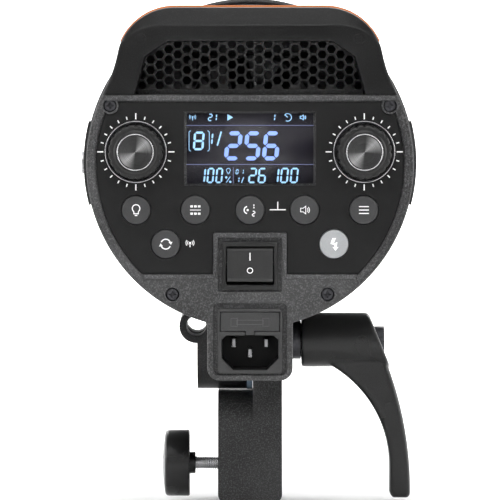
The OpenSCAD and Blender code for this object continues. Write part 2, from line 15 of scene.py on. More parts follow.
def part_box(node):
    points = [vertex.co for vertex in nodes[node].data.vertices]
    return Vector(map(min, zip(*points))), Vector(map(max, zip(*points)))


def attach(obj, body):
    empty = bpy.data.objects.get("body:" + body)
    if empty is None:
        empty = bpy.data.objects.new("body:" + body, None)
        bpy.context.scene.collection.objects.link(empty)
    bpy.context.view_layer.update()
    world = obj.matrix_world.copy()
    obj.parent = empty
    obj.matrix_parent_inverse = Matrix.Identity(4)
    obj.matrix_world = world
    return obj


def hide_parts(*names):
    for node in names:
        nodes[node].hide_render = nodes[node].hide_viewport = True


MM = 0.001
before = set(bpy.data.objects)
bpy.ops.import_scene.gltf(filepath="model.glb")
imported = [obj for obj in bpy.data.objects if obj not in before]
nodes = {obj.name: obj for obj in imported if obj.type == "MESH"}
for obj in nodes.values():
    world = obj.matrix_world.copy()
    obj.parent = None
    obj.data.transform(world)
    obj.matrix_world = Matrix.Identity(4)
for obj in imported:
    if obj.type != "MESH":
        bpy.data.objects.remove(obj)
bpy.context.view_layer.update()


def limits(node):
    """Lowest and highest corner of a CAD node, in millimetres."""
    low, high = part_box(node)
    return [v / MM for v in low], [v / MM for v in high]


AXIS_Z = sum(limit[2] for limit in limits("front_ring")) / 2
TILT_Z = sum(limit[2] for limit in limits("lever_collar")) / 2
REAR = limits("rear_cover")[0][1]
COVER_FRONT = limits("rear_cover")[1][1]
CASING_R = (limits("main_casing")[1][0] - limits("main_casing")[0][0]) / 2
COVER_R = (limits("rear_cover")[1][0] - limits("rear_cover")[0][0]) / 2
STEP_Z = limits("handle")[0][2] - AXIS_Z
FILM_Y = limits("control_panel")[0][1]

# ---------------------------------------------------------------- materials


def shader(name, colour, rough, metallic=0.0, **sockets):
    """A new material and its nodes, with the shader's plain values set on its sockets."""
    mat = bpy.data.materials.new(name)
    mat.use_nodes = True
    tree = mat.node_tree
    bsdf = tree.nodes["Principled BSDF"]
    bsdf.inputs["Base Color"].default_value = (*colour, 1)
    bsdf.inputs["Roughness"].default_value = rough
    bsdf.inputs["Metallic"].default_value = metallic
    for socket, value in sockets.items():
        bsdf.inputs[socket.replace("_", " ")].default_value = value
    return mat, tree, bsdf


def add(tree, kind, **values):
    node = tree.nodes.new(kind)
    for key, value in values.items():
        if key in node.inputs:
            node.inputs[key].default_value = value
        else:
            setattr(node, key, value)
    return node


def ramp(tree, source, stops):
    """A colour ramp on source, from (position, colour or grey) pairs."""
    node = tree.nodes.new("ShaderNodeValToRGB")
    elements = node.color_ramp.elements
    while len(elements) < len(stops):
        elements.new(0.5)
    for element, (position, value) in zip(elements, stops):
        element.position = position
        element.color = (value,) * 3 + (1,) if isinstance(value, (int, float)) else (*value, 1)
    tree.links.new(source, node.inputs["Fac"])
    return node.outputs["Color"]


def noise(tree, scale, detail=3.0, rough=0.5):
    coords = tree.nodes.new("ShaderNodeTexCoord")
    node = add(tree, "ShaderNodeTexNoise", Scale=scale, Detail=detail, Roughness=rough)
    tree.links.new(coords.outputs["Object"], node.inputs["Vector"])
    return node.outputs["Fac"]


def bump(tree, bsdf, height, strength, distance_m):
    node = add(tree, "ShaderNodeBump", Strength=strength, Distance=distance_m)
    tree.links.new(height, node.inputs["Height"])
    tree.links.new(node.outputs["Normal"], bsdf.inputs["Normal"])


def moulded(name, dark, light, rough, grain_mm, grain_depth, rough_spread=0.08, **sockets):
    """Moulded or coated surface: grain bump, slow colour drift and patchy roughness."""
    mat, tree, bsdf = shader(name, dark, rough, **sockets)
    grain = noise(tree, 1000 / grain_mm, 4.0, 0.65)
    drift = noise(tree, 28, 2.0)
    mix = tree.nodes.new("ShaderNodeMix")
    mix.data_type = "RGBA"
    mix.inputs["A"].default_value = (*dark, 1)
    mix.inputs["B"].default_value = (*light, 1)
    blend = add(tree, "ShaderNodeMath", operation="MULTIPLY_ADD")
    blend.inputs[1].default_value = 0.7
    tree.links.new(ramp(tree, grain, [(0.49, 0.0), (0.64, 1.0)]), blend.inputs[0])
    tree.links.new(ramp(tree, drift, [(0.35, 0.0), (0.7, 0.3)]), blend.inputs[2])
    tree.links.new(blend.outputs[0], mix.inputs["Factor"])
    tree.links.new(mix.outputs["Result"], bsdf.inputs["Base Color"])
    patch = ramp(tree, drift, [(0.3, rough - rough_spread), (0.7, rough + rough_spread)])
    tree.links.new(patch, bsdf.inputs["Roughness"])
    bump(tree, bsdf, grain, 0.6, grain_depth * MM)
    return mat


def metal(name, colour, rough, streak=(1, 1, 1), scale=400, **sockets):
    """Machined metal with fine streaks along one direction."""
    mat, tree, bsdf = shader(name, colour, rough, 1.0, **sockets)
    coords = tree.nodes.new("ShaderNodeTexCoord")
    stretch = tree.nodes.new("ShaderNodeMapping")
    stretch.inputs["Scale"].default_value = streak
    texture = add(tree, "ShaderNodeTexNoise", Scale=scale, Detail=4.0)
    tree.links.new(coords.outputs["Object"], stretch.inputs["Vector"])
    tree.links.new(stretch.outputs["Vector"], texture.inputs["Vector"])
    tone = ramp(tree, texture.outputs["Fac"],
                [(0.3, [c * 0.7 for c in colour]), (0.7, [min(1, c * 1.15) for c in colour])])
    tree.links.new(tone, bsdf.inputs["Base Color"])
    tree.links.new(ramp(tree, texture.outputs["Fac"], [(0.3, rough * 0.8), (0.7, rough * 1.3)]),
                   bsdf.inputs["Roughness"])
    bump(tree, bsdf, texture.outputs["Fac"], 0.25, 0.00003)
    return mat


def glowing(name, colour, strength):
    """A lit display segment, a little uneven."""
    mat, tree, bsdf = shader(name, colour, 0.5)
    tone = ramp(tree, noise(tree, 300), [(0.3, [c * 0.9 for c in colour]), (0.7, colour)])
    tree.links.new(tone, bsdf.inputs["Emission Color"])
    tree.links.new(tone, bsdf.inputs["Base Color"])
    bsdf.inputs["Emission Strength"].default_value = strength
    return mat


def see_through(name, colour, alpha, rough):
    mat, tree, bsdf = shader(name, colour, rough, Alpha=alpha)
    smear = noise(tree, 60, 2.0)
    tree.links.new(ramp(tree, smear, [(0.3, rough * 0.7), (0.7, rough * 1.4)]),
                   bsdf.inputs["Roughness"])
    tone = ramp(tree, smear, [(0.3, [c * 0.92 for c in colour]), (0.7, colour)])
    tree.links.new(tone, bsdf.inputs["Base Color"])
    return mat


TEXTURED = moulded("textured_black", (0.004, 0.004, 0.004), (0.072, 0.072, 0.073), 0.5, 0.62, 0.12,
                   Specular_IOR_Level=0.4)
COVER = moulded("cover_black", (0.004, 0.004, 0.004), (0.115, 0.115, 0.117), 0.5, 0.62, 0.13)
INLET = moulded("inlet_black", (0.024, 0.024, 0.024), (0.042, 0.042, 0.043), 0.4, 0.5, 0.01)
ROCKER = moulded("rocker_black", (0.010, 0.010, 0.010), (0.018, 0.018, 0.018), 0.3, 0.4, 0.006)
HANDLE = moulded("handle_black", (0.002, 0.002, 0.002), (0.014, 0.014, 0.014), 0.40, 0.5, 0.05,
                 Specular_IOR_Level=0.22)
GRILLE = moulded("grille_black", (0.020, 0.020, 0.020), (0.075, 0.075, 0.076), 0.42, 0.5, 0.05)
RIDGE = moulded("ridge_black", (0.008, 0.008, 0.009), (0.13, 0.13, 0.133), 0.48, 0.6, 0.12)
SATIN = moulded("satin_black", (0.005, 0.005, 0.005), (0.012, 0.012, 0.012), 0.36, 0.5, 0.01,
                Specular_IOR_Level=0.4)
SMOOTH = moulded("smooth_black", (0.006, 0.006, 0.006), (0.014, 0.014, 0.014), 0.3, 0.4, 0.006,
                 Specular_IOR_Level=0.4)
CAST = moulded("cast_black", (0.004, 0.004, 0.004), (0.028, 0.028, 0.029), 0.46, 0.6, 0.06,
               Specular_IOR_Level=0.25)
CASING = moulded("casing_black", (0.012, 0.012, 0.013), (0.05, 0.05, 0.052), 0.48, 0.5, 0.06)
FILM = moulded("panel_film", (0.006, 0.006, 0.006), (0.010, 0.010, 0.010), 0.42, 0.35, 0.004, 0.05,
               Specular_IOR_Level=0.22)
KEY = moulded("key_grey", (0.030, 0.030, 0.031), (0.040, 0.040, 0.041), 0.6, 0.35, 0.012, 0.05)
# embossed fuse symbol, coloured lighter than the drawer as a painted highlight on its raised strokes
MARK_PAINTED_HIGHLIGHT = moulded("embossed_mark_painted_highlight", (0.075, 0.075, 0.076), (0.095, 0.095, 0.096), 0.4, 0.35, 0.01)
KEY_LIGHT = moulded("key_light", (0.33, 0.34, 0.35), (0.40, 0.41, 0.42), 0.5, 0.35, 0.01, 0.05)
ORANGE = moulded("trim_orange", (0.60, 0.16, 0.030), (0.72, 0.22, 0.05), 0.42, 0.4, 0.01)
# white print with a painted glow: its emission adds light the print does not give off
INK_PAINTED_GLOW = moulded("white_ink_painted_glow", (0.80, 0.80, 0.80), (0.88, 0.88, 0.88), 0.55, 0.3, 0.004, 0.04,
              Emission_Color=(1, 1, 1, 1), Emission_Strength=0.22)
DARK = moulded("deep_black", (0.004, 0.004, 0.004), (0.008, 0.008, 0.008), 0.7, 0.6, 0.02)
FIBRE = moulded("friction_fibre", (0.17, 0.24, 0.32), (0.30, 0.38, 0.46), 0.7, 0.5, 0.06)
STEEL = metal("steel", (0.56, 0.56, 0.57), 0.28, (1, 1, 6), 500)
THREAD = metal("thread_steel", (0.72, 0.72, 0.73), 0.2, (1, 1, 1), 60)
PIN = metal("pin_nickel", (0.30, 0.30, 0.31), 0.24, (1, 1, 4), 200)
BLACK_STEEL = metal("black_steel", (0.06, 0.06, 0.065), 0.36, (1, 1, 1), 600)
BRIGHT = metal("bright_ring", (0.62, 0.62, 0.63), 0.2, (1, 1, 1), 500)
BRASS = metal("brass", (0.66, 0.46, 0.17), 0.3, (1, 1, 1), 400)
ALUMINIUM = metal("bare_aluminium", (0.62, 0.62, 0.64), 0.35, (1, 8, 1), 300)
BOARD = moulded("circuit_green", (0.012, 0.07, 0.025), (0.02, 0.12, 0.04), 0.4, 1.2, 0.02)
SLEEVE = moulded("capacitor_sleeve", (0.015, 0.017, 0.06), (0.025, 0.028, 0.09), 0.3, 1.0, 0.01)
PAN = moulded("pan_white", (0.74, 0.74, 0.73), (0.84, 0.84, 0.83), 0.35, 0.8, 0.01)
CERAMIC = moulded("ceramic", (0.66, 0.63, 0.55), (0.78, 0.75, 0.68), 0.7, 0.7, 0.03)
PHOSPHOR = moulded("led_yellow", (0.75, 0.52, 0.05), (0.85, 0.64, 0.1), 0.35, 0.9, 0.01)
DOME = see_through("dome_glass", (0.9, 0.91, 0.9), 0.42, 0.35)
TUBE = see_through("tube_glass", (0.85, 0.84, 0.76), 0.6, 0.12)
WINDOW = see_through("screen_glass", (0.02, 0.02, 0.024), 0.10, 0.22)
SCREEN = moulded("screen_dark", (0.014, 0.012, 0.020), (0.018, 0.015, 0.026), 0.4, 1.0, 0.002)
BIG_DIGIT = glowing("digit_blue", (0.27, 0.42, 1.0), 0.85)
SMALL_DIGIT = glowing("digit_pale", (0.36, 0.66, 1.0), 0.75)
SCREEN_LINE = glowing("screen_line", (0.16, 0.18, 0.36), 0.6)


# ---------------------------------------------------------------- shape helpers


def smooth(mesh, sharp_deg=32):
    mesh.shade_smooth()
    mesh.set_sharp_from_angle(angle=math.radians(sharp_deg))


def add_piece(name, mesh, mat, body, sharp_deg=32):
    """Links a mesh as a piece that rides on a body and takes its finish from a slot."""
    smooth(mesh, sharp_deg)
    obj = bpy.data.objects.new(name, mesh)
    bpy.context.collection.objects.link(obj)
    obj.data.materials.append(mat)
    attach(obj, body)
    return obj


def mesh_of(name, verts, faces, base_z=0.0):
    """A mesh from millimetre points, with doubles merged and normals outward."""
    mesh = bpy.data.meshes.new(name)
    mesh.from_pydata([(x * MM, y * MM, (z + base_z) * MM) for x, y, z in verts], [], faces)
    shape = bmesh.new()
    shape.from_mesh(mesh)
    bmesh.ops.remove_doubles(shape, verts=shape.verts, dist=2e-6)
    bmesh.ops.recalc_face_normals(shape, faces=shape.faces)
    shape.to_mesh(mesh)
    shape.free()
    return mesh


def arc(centre, radius, start_deg, end_deg, steps=12):
    angles = [math.radians(start_deg + (end_deg - start_deg) * i / steps) for i in range(steps + 1)]
    return [(centre[0] + radius * math.cos(a), centre[1] + radius * math.sin(a)) for a in angles]


def circle(centre, radius, steps=64):
    return arc(centre, radius, 0, 360, steps)[:-1]


def rounded(points, radius, steps=5):
    """The same path with its corners rounded; radius is one number or one for each point."""
    count = len(points)
    radii = [radius] * count if isinstance(radius, (int, float)) else radius
    path = []
    for i, point in enumerate(points):
        if radii[i] <= 0:
            path.append(point)
            continue
        here = Vector(point)
        back = Vector(points[i - 1]) - here
        on = Vector(points[(i + 1) % count]) - here
        reach = min(radii[i] / max(math.tan(back.angle(on) / 2), 0.05),
                    back.length * 0.49, on.length * 0.49)
        first = here + back.normalized() * reach
        last = here + on.normalized() * reach
        for k in range(steps + 1):
            t = k / steps
            path.append(tuple(first * (1 - t) ** 2 + here * 2 * t * (1 - t) + last * t * t))
    return path


def rectangle(x0, x1, z0, z1, radius=0.0, steps=5):
    return rounded([(x0, z0), (x1, z0), (x1, z1), (x0, z1)], radius, steps)


def turning(loop):
    """Twice the signed area of a loop: positive if it runs counter-clockwise."""
    return sum(a[0] * b[1] - b[0] * a[1] for a, b in zip(loop, loop[1:] + loop[:1]))


def inset(loop, distance):
    """The loop moved into the material, which lies on the left of its direction."""
    moved = []
    for i, point in enumerate(loop):
        here, back, on = Vector(point), Vector(loop[i - 1]), Vector(loop[(i + 1) % len(loop)])
        first, second = (here - back).normalized(), (on - here).normalized()
        left = (Vector((-first.y, first.x)) + Vector((-second.y, second.x))).normalized()
        stretch = max(left.dot(Vector((-first.y, first.x))), 0.5)
        moved.append(tuple(here + left * distance / stretch))
    return moved


def inside(point, loops):
    """Whether a point is in the filled area, counting crossings of every loop."""
    x, z = point
    hit = False
    for loop in loops:
        for (x0, z0), (x1, z1) in zip(loop, loop[1:] + loop[:1]):
            if (z0 > z) != (z1 > z) and x < x0 + (x1 - x0) * (z - z0) / (z1 - z0):
                hit = not hit
    return hit


def cap_faces(loops):
    """Triangles that fill the area between an outer loop and its holes."""
    points, edges = [], []
    for loop in loops:
        start = len(points)
        points += [Vector(p) for p in loop]
        edges += [(start + i, start + (i + 1) % len(loop)) for i in range(len(loop))]
    verts, _, faces, *_ = delaunay_2d_cdt(points, edges, [], 0, 1e-6)
    keep = [f for f in faces
            if inside(sum((verts[i] for i in f), Vector((0, 0))) / len(f), loops)]
    return verts, keep


def solid_mesh(name, loops, depth, edge, segments=3):
    """A filled outline with holes, centred on its own Z, with rounded rims."""
    loops = [loop if (turning(loop) > 0) == (i == 0) else loop[::-1]
             for i, loop in enumerate(loops)]
    turns = [math.pi / 2 * k / segments for k in range(segments + 1)]
    steps = [(edge * (1 - math.sin(t)), depth / 2 - edge * (1 - math.cos(t))) for t in turns]
    steps += [(inward, -height) for inward, height in steps[::-1]]
    verts, faces = [], []
    for loop in loops:
        start, count = len(verts), len(loop)
        for inward, height in steps:
            verts += [(x, z, height) for x, z in inset(loop, inward)]
        for k in range(len(steps) - 1):
            for i in range(count):
                a, b = start + k * count + i, start + k * count + (i + 1) % count
                faces.append((a, b, b + count, a + count))
    flat, tris = cap_faces([inset(loop, edge) for loop in loops])
    for height in (depth / 2, -depth / 2):
        start = len(verts)
        verts += [(p.x, p.y, height) for p in flat]
        faces += [tuple(start + i for i in tri) for tri in tris]
    return mesh_of(name, verts, faces)


def outline(name, loops, y0, y1, edge, mat, body="head",
            base_z=None, sharp_deg=32):
    """Outline in X and Z (the first loop outer, the rest holes), filled from y0 to y1."""
    mesh = solid_mesh(name, loops, y1 - y0, edge)
    base_z = AXIS_Z if base_z is None else base_z
    facing = Matrix(((1, 0, 0, 0), (0, 0, -1, (y0 + y1) / 2 * MM), (0, 1, 0, base_z * MM),
                     (0, 0, 0, 1)))
    mesh.transform(facing)
    return add_piece(name, mesh, mat, body, sharp_deg)


def lathe(name, profile, centre, mat, body="head", axis="Y",
          steps=96, base_z=None, sharp_deg=32):
    """Turns (radius, along) points round an axis through centre, given as its X, Y and Z."""
    rings, verts, faces = [], [], []
    for radius, along in profile:
        count = 1 if radius < 1e-6 else steps
        rings.append((len(verts), count))
        for i in range(count):
            a = 2 * math.pi * i / steps
            u, v = radius * math.cos(a), radius * math.sin(a)
            spot = {"Y": (u, along, v), "X": (along, u, v), "Z": (u, v, along)}[axis]
            verts.append(tuple(s + c for s, c in zip(spot, centre)))
    pairs = list(zip(rings, rings[1:]))
    if rings[0][1] > 1 and rings[-1][1] > 1:
        pairs.append((rings[-1], rings[0]))
    for (a, na), (b, nb) in pairs:
        for i in range(steps):
            j = (i + 1) % steps
            if na > 1 and nb > 1:
                faces.append((a + i, a + j, b + j, b + i))
            elif na > 1:
                faces.append((a + i, a + j, b))
            elif nb > 1:
                faces.append((a, b + j, b + i))
    base_z = AXIS_Z if base_z is None else base_z
    return add_piece(name, mesh_of(name, verts, faces, base_z), mat, body, sharp_deg)


def prisms(name, polygons, y0, y1, mat, body="head", base_z=None):
    """Many small flat polygons in X and Z as one thin piece: printing, marks and symbols."""
    verts, faces = [], []
    for order, polygon in enumerate(polygons):
        start, count = len(verts), len(polygon)
        front = y0 - 0.004 * (order % 5)
        verts += [(x, front, z) for x, z in polygon] + [(x, y1, z) for x, z in polygon]
        faces.append(tuple(range(start, start + count)))
        faces.append(tuple(range(start + 2 * count - 1, start + count - 1, -1)))
        for i in range(count):
            j = (i + 1) % count
            faces.append((start + i, start + count + i, start + count + j, start + j))
    base_z = AXIS_Z if base_z is None else base_z
    return add_piece(name, mesh_of(name, verts, faces, base_z), mat, body)


def stroke(points, width):
    """A line through points as a ribbon of four-sided polygons that share mitred ends."""
    closed = math.dist(points[0], points[-1]) < 1e-6
    spots = [Vector(p) for p in (points[:-1] if closed else points)]
    count = len(spots)
    pairs = []
    for i, here in enumerate(spots):
        back = spots[i - 1] if closed or i > 0 else None
        on = spots[(i + 1) % count] if closed or i < count - 1 else None
        ways = [(here - back).normalized()] if back is not None else []
        ways += [(on - here).normalized()] if on is not None else []
        lefts = [Vector((-way.y, way.x)) for way in ways]
        left = sum(lefts, Vector((0, 0))).normalized()
        reach = width / 2 / max(left.dot(lefts[0]), 0.45)
        pairs.append((here + left * reach, here - left * reach))
    last = count if closed else count - 1
    quads = []
    for i in range(last):
        (a0, a1), (b0, b1) = pairs[i], pairs[(i + 1) % count]
        quads.append([tuple(a1), tuple(b1), tuple(b0), tuple(a0)])
    return quads


def shifted(polygons, dx, dz):
    return [[(x + dx, z + dz) for x, z in polygon] for polygon in polygons]


def finish_node(node, mat, edge=0.0, sharp_deg=32, segments=2):
    """Gives a CAD node its material, smooth shading and, if edge is set, rounded edges."""
    obj = nodes[node]
    obj.data.materials.clear()
    obj.data.materials.append(mat)
    weld = obj.modifiers.new("weld", "WELD")
    weld.merge_threshold = 2e-6
    if edge:
        bevel = obj.modifiers.new("bevel", "BEVEL")
        bevel.width = edge * MM
        bevel.segments = segments
        bevel.limit_method = "ANGLE"
        bevel.angle_limit = math.radians(35)
        bevel.harden_normals = False
    smooth(obj.data, sharp_deg)


# ---------------------------------------------------------------- rear cover and panel

SCREWS = [(-59.4, 25.2), (59.4, 25.2), (-33.0, -55.0), (33.0, -55.0)]
KEYS = {"lamp": (-48.4, -19.1), "group": (-23.2, -19.1), "slave": (0.0, -19.1),
        "sound": (23.2, -19.1), "menu": (48.4, -19.1), "mode": (-35.8, -33.6),
        "flash": (35.7, -33.6)}
DIALS = {"left": (-48.5, 5.6), "right": (48.5, 5.6)}
PANEL_R = 65.2
PANEL_Z = (-46.3, 26.7)
NOTCH_X = 15.8
NOTCH_Z = -28.5
SCREEN_X = 28.0
SCREEN_Z = (-8.8, 22.8)
BUMP_X = 18.2
BUMP_Z = -91.8
INLET_HOLE = (-15.4, 15.4, -89.5, -59.0)
SWITCH_HOLE = (-13.4, 13.4, -53.8, -30.6)


def on_circle(radius, z):
    """Angle in degrees of the point on a circle at height z, on the right-hand side."""
    return math.degrees(math.asin(z / radius))


def cover_loop(shrink=0.0):
    """Circle cut flat under the handle, running into the inlet housing below."""
    radius, half = COVER_R - shrink, BUMP_X - shrink
    top = STEP_Z - shrink
    low = -90 + math.degrees(math.asin(half / radius))
    right = arc((0, 0), radius, low, on_circle(radius, top), 60)
    corner = max(5.3 - shrink, 1)
    bottom = arc((-half + corner, BUMP_Z + shrink + corner), corner, 180, 270, 6)
    bottom += arc((half - corner, BUMP_Z + shrink + corner), corner, 270, 360, 6)
    left = [(-x, z) for x, z in right[::-1]]
    return right + left + bottom


def bite(loop, centre, radius):
    """The loop with a round bite taken out where it passes through a circle."""
    dense = []
    for a, b in zip(loop, loop[1:] + loop[:1]):
        parts = max(1, int(math.dist(a, b) / 0.4))
        dense += [(a[0] + (b[0] - a[0]) * k / parts, a[1] + (b[1] - a[1]) * k / parts)
                  for k in range(parts)]
    within = [math.dist(p, centre) < radius for p in dense]
    if not any(within):
        return dense
    start = next(i for i in range(len(dense)) if within[i] and not within[i - 1])
    dense = dense[start:] + dense[:start]
    count = next(i for i in range(len(dense)) if not math.dist(dense[i], centre) < radius)
    enter, leave = dense[-1], dense[count]
    a0 = math.degrees(math.atan2(enter[1] - centre[1], enter[0] - centre[0]))
    a1 = math.degrees(math.atan2(leave[1] - centre[1], leave[0] - centre[0]))
    sweep = (a1 - a0) % 360
    middle = math.radians(a0 + sweep / 2)
    spot = (centre[0] + math.cos(middle) * radius, centre[1] + math.sin(middle) * radius)
    if math.hypot(*spot) > PANEL_R:
        sweep -= 360
    return dense[count:] + arc(centre, radius, a0, a0 + sweep, 12)


def panel_loop(grow=0.0):
    """Edge of the panel film: a circle cut at the top and bottom, round the switch and screws."""
    radius, top, low = PANEL_R + grow, PANEL_Z[1] + grow, PANEL_Z[0] - grow
    half, notch = NOTCH_X - grow, NOTCH_Z - grow
    right = arc((0, 0), radius, on_circle(radius, low), on_circle(radius, top), 60)
    left = [(-x, z) for x, z in right[::-1]]
    step = rounded([(-half, low), (-half, notch), (half, notch), (half, low)], [0, 1.2, 1.2, 0], 4)
    loop = right + left + step
    for screw in SCREWS[:2]:
        loop = bite(loop, screw, 3.6 - grow)
    return loop


def rear_cover():
    """The moulded shell with its recesses, and the floor of the recesses behind it."""
    holes = [panel_loop(0.15), rectangle(*SWITCH_HOLE, 0.8), rectangle(*INLET_HOLE, 2.5)]
    holes += [circle(p, 2.9, 32) for p in SCREWS]
    shell = outline("cover_shell", [cover_loop()] + holes, REAR, COVER_FRONT, 0.7, COVER)
    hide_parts("rear_cover", "inlet_housing")
    floor_holes = [rectangle(-27, 27, -8, 22), rectangle(-10.9, 10.9, -52, -33.7),
                   rectangle(-13.1, 13.1, -88.1, -61.9)]
    floor_holes += [circle(p, 6.4, 40) for p in KEYS.values()]
    floor_holes += [circle(p, 4.5, 32) for p in DIALS.values()]
    outline("cover_floor", [cover_loop(1.0)] + floor_holes, REAR + 1.9, REAR + 4.4, 0.05, COVER)


def ridge(name, path, width, y0, y1):
    """A raised strip along an open path, with rounded edges."""
    offset = []
    for i, here in enumerate(path):
        a = Vector(path[max(i - 1, 0)])
        b = Vector(path[min(i + 1, len(path) - 1)])
        side = Vector((-(b - a).y, (b - a).x)).normalized()
        offset.append(tuple(Vector(here) + side * width))
    outline(name, [path + offset[::-1]], y0, y1, min(0.35, (y1 - y0) / 2.2), RIDGE)


def cover_ridges():
    """Raised borders: along the flat bottom of the panel, round the switch, and along the top."""
    low, half, notch = PANEL_Z[0] - 0.2, NOTCH_X - 0.2, NOTCH_Z - 0.2
    edge = math.sqrt(PANEL_R ** 2 - low ** 2) - 0.4
    path = [(-edge, low), (-half, low)]
    path += rounded([(-half, low), (-half, notch), (half, notch), (half, low)],
                    [0, 1.2, 1.2, 0], 4)[1:-1]
    path += [(half, low), (edge, low)]
    ridge("panel_border", path[::-1], 2.1, REAR - 0.45, REAR + 1.0)
    top = STEP_Z - 0.55
    reach = math.sqrt(COVER_R ** 2 - STEP_Z ** 2) - 1.2
    ridge("top_border", [(-reach, top), (reach, top)][::-1], 1.9, REAR - 0.35, REAR + 1.0)
    sweep = arc((0, 0), 66.0, on_circle(66.0, PANEL_Z[0] - 2), on_circle(66.0, 20.5), 60)
    ridge("side_border_right", sweep[::-1], 2.0, REAR - 0.3, REAR + 1.0)
    ridge("side_border_left", [(-x, z) for x, z in sweep], 2.0, REAR - 0.3, REAR + 1.0)
    for x, z in SCREWS:
        side = "right" if x > 0 else "left"
        level = "upper" if z > 0 else "lower"
        ring = rounded([(2.95, REAR - 0.3), (3.6, REAR - 0.3), (3.6, REAR + 1), (2.95, REAR + 1)],
                       0.25, 3)
        lathe("screw_rim_" + level + "_" + side, ring, (x, 0, z), RIDGE, steps=40)


def panel_film():
    """The printed film, with windows for the screen, dials and keys."""
    holes = [rectangle(-SCREEN_X, SCREEN_X, *SCREEN_Z)]
    holes += [circle(p, 12.2) for p in DIALS.values()] + [circle(p, 6.4) for p in KEYS.values()]
    film = outline("panel_film", [panel_loop()] + holes, FILM_Y, REAR + 1.8, 0.15, FILM)
    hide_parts("control_panel")


def dial_ticks():
    marks = []
    for x, z in DIALS.values():
        for i in range(24):
            a = math.radians(15 * i)
            near, far = (13.8, 16.4) if i % 6 == 0 else (14.1, 15.4)
            way = Vector((math.cos(a), math.sin(a)))
            start, end = Vector((x, z)) + way * near, Vector((x, z)) + way * far
            marks += stroke([tuple(start), tuple(end)], 0.5)
    prisms("dial_ticks", marks, FILM_Y - 0.06, FILM_Y + 0.05, INK_PAINTED_GLOW)


# ---------------------------------------------------------------- symbols and digits

SEGMENTS = {"0": "abcdef", "1": "bc", "2": "abged", "5": "afgcd", "6": "afgedc", "8": "abcdefg"}


def digit(char, x, z, wide, tall, thick, lean=0.10):
    """Seven-segment digit with its lower left corner at x, z."""
    half, t, g = tall / 2, thick, thick * 0.16
    ends = {"a": ((0, tall), (wide, tall)), "g": ((0, half), (wide, half)),
            "d": ((0, 0), (wide, 0)), "f": ((0, half), (0, tall)), "b": ((wide, half), (wide, tall)),
            "e": ((0, 0), (0, half)), "c": ((wide, 0), (wide, half))}
    shapes = []
    for name in SEGMENTS[char]:
        a, b = (Vector(p) for p in ends[name])
        a = Vector((min(max(a.x, t / 2), wide - t / 2), min(max(a.y, t / 2), tall - t / 2)))
        b = Vector((min(max(b.x, t / 2), wide - t / 2), min(max(b.y, t / 2), tall - t / 2)))
        along = (b - a).normalized()
        side = Vector((-along.y, along.x)) * t / 2
        a, b = a + along * g, b - along * g
        tip = along * t / 2
        ring = [a, a + tip + side, b - tip + side, b, b - tip - side, a + tip - side]
        shapes.append([(x + p.x + p.y * lean, z + p.y) for p in ring][::-1])
    return shapes


def disc(x, z, radius, steps=20):
    return [circle((x, z), radius, steps)]


def hoop(x, z, radius, width, start=0, end=360, steps=28):
    return stroke(arc((x, z), radius, start, end, steps), width)


def lamp_symbol(size):
    marks = hoop(0, 0.25 * size, 0.62 * size, 0.16 * size, -55, 235)
    marks += stroke([(-0.36 * size, -0.28 * size), (-0.36 * size, -0.62 * size),
                     (0.36 * size, -0.62 * size), (0.36 * size, -0.28 * size)], 0.16 * size)
    return marks + stroke([(-0.22 * size, -0.9 * size), (0.22 * size, -0.9 * size)], 0.16 * size)


def waves(size):
    """A dot on a mast with arcs spreading from it."""
    marks = disc(0, 0.1 * size, 0.22 * size) + stroke([(0, 0.1 * size), (0, -0.8 * size)], 0.2 * size)
    for radius in (0.52 * size, 0.86 * size):
        marks += hoop(0, 0.1 * size, radius, 0.15 * size, -42, 42, 8)
        marks += hoop(0, 0.1 * size, radius, 0.15 * size, 138, 222, 8)
    return marks


def speaker_symbol(size, width):
    body = [(-0.9, -0.4), (-0.9, 0.4), (-0.35, 0.4), (0.25, 0.85), (0.25, -0.85), (-0.35, -0.4),
            (-0.9, -0.4)]
    marks = stroke([(x * size, z * size) for x, z in body], width)
    for radius in (0.5, 0.85):
        marks += hoop(0.25 * size, 0, radius * size, width, -50, 50, 8)
    return marks


def cycle_symbol(size):
    marks = hoop(0, 0, 0.8 * size, 0.2 * size, 25, 155, 14)
    marks += hoop(0, 0, 0.8 * size, 0.2 * size, 205, 335, 14)
    for turn in (1, -1):
        tip = [(0.45, 0.34), (1.1, 0.38), (0.85, -0.12)]
        marks.append([(x * size * turn, z * size * turn) for x, z in tip])
    return marks


def key_symbols():
    """White symbols for each key, drawn about the key's centre."""
    bars = [[(-2.1, z - 0.22), (2.1, z - 0.22), (2.1, z + 0.22), (-2.1, z + 0.22)]
            for z in (-1.45, 0, 1.45)]
    group = [[(x - 0.55, z - 0.45), (x + 0.55, z - 0.45), (x + 0.55, z + 0.45), (x - 0.55, z + 0.45)]
             for x in (-1.6, 0, 1.6) for z in (-1.55, 1.55)]
    group += stroke([(-2.3, 0), (2.3, 0)], 0.28)
    slave = hoop(-1.0, 0, 1.5, 0.5, 100, 260, 12) + disc(-1.0, 0, 0.5)
    slave += digit("1", 0.7, 0.3, 1.2, 2.5, 0.5, 0) + digit("2", 0.8, -2.8, 1.5, 2.5, 0.45, 0)
    bolt = [[(0.9, 2.6), (-0.7, 2.6), (-1.6, 0.1), (-0.1, 0.3)],
            [(-1.6, 0.1), (0.2, -0.4), (1.5, 0.9), (-0.1, 0.3)],
            [(0.1, -0.3), (1.5, 0.9), (1.1, -1.3), (0.2, -1.3)],
            [(-0.7, -1.2), (2.0, -1.2), (0.6, -2.9)]]
    return {"lamp": lamp_symbol(2.6), "group": group, "slave": slave,
            "sound": speaker_symbol(1.9, 0.3), "menu": bars, "mode": cycle_symbol(2.6),
            "flash": bolt}


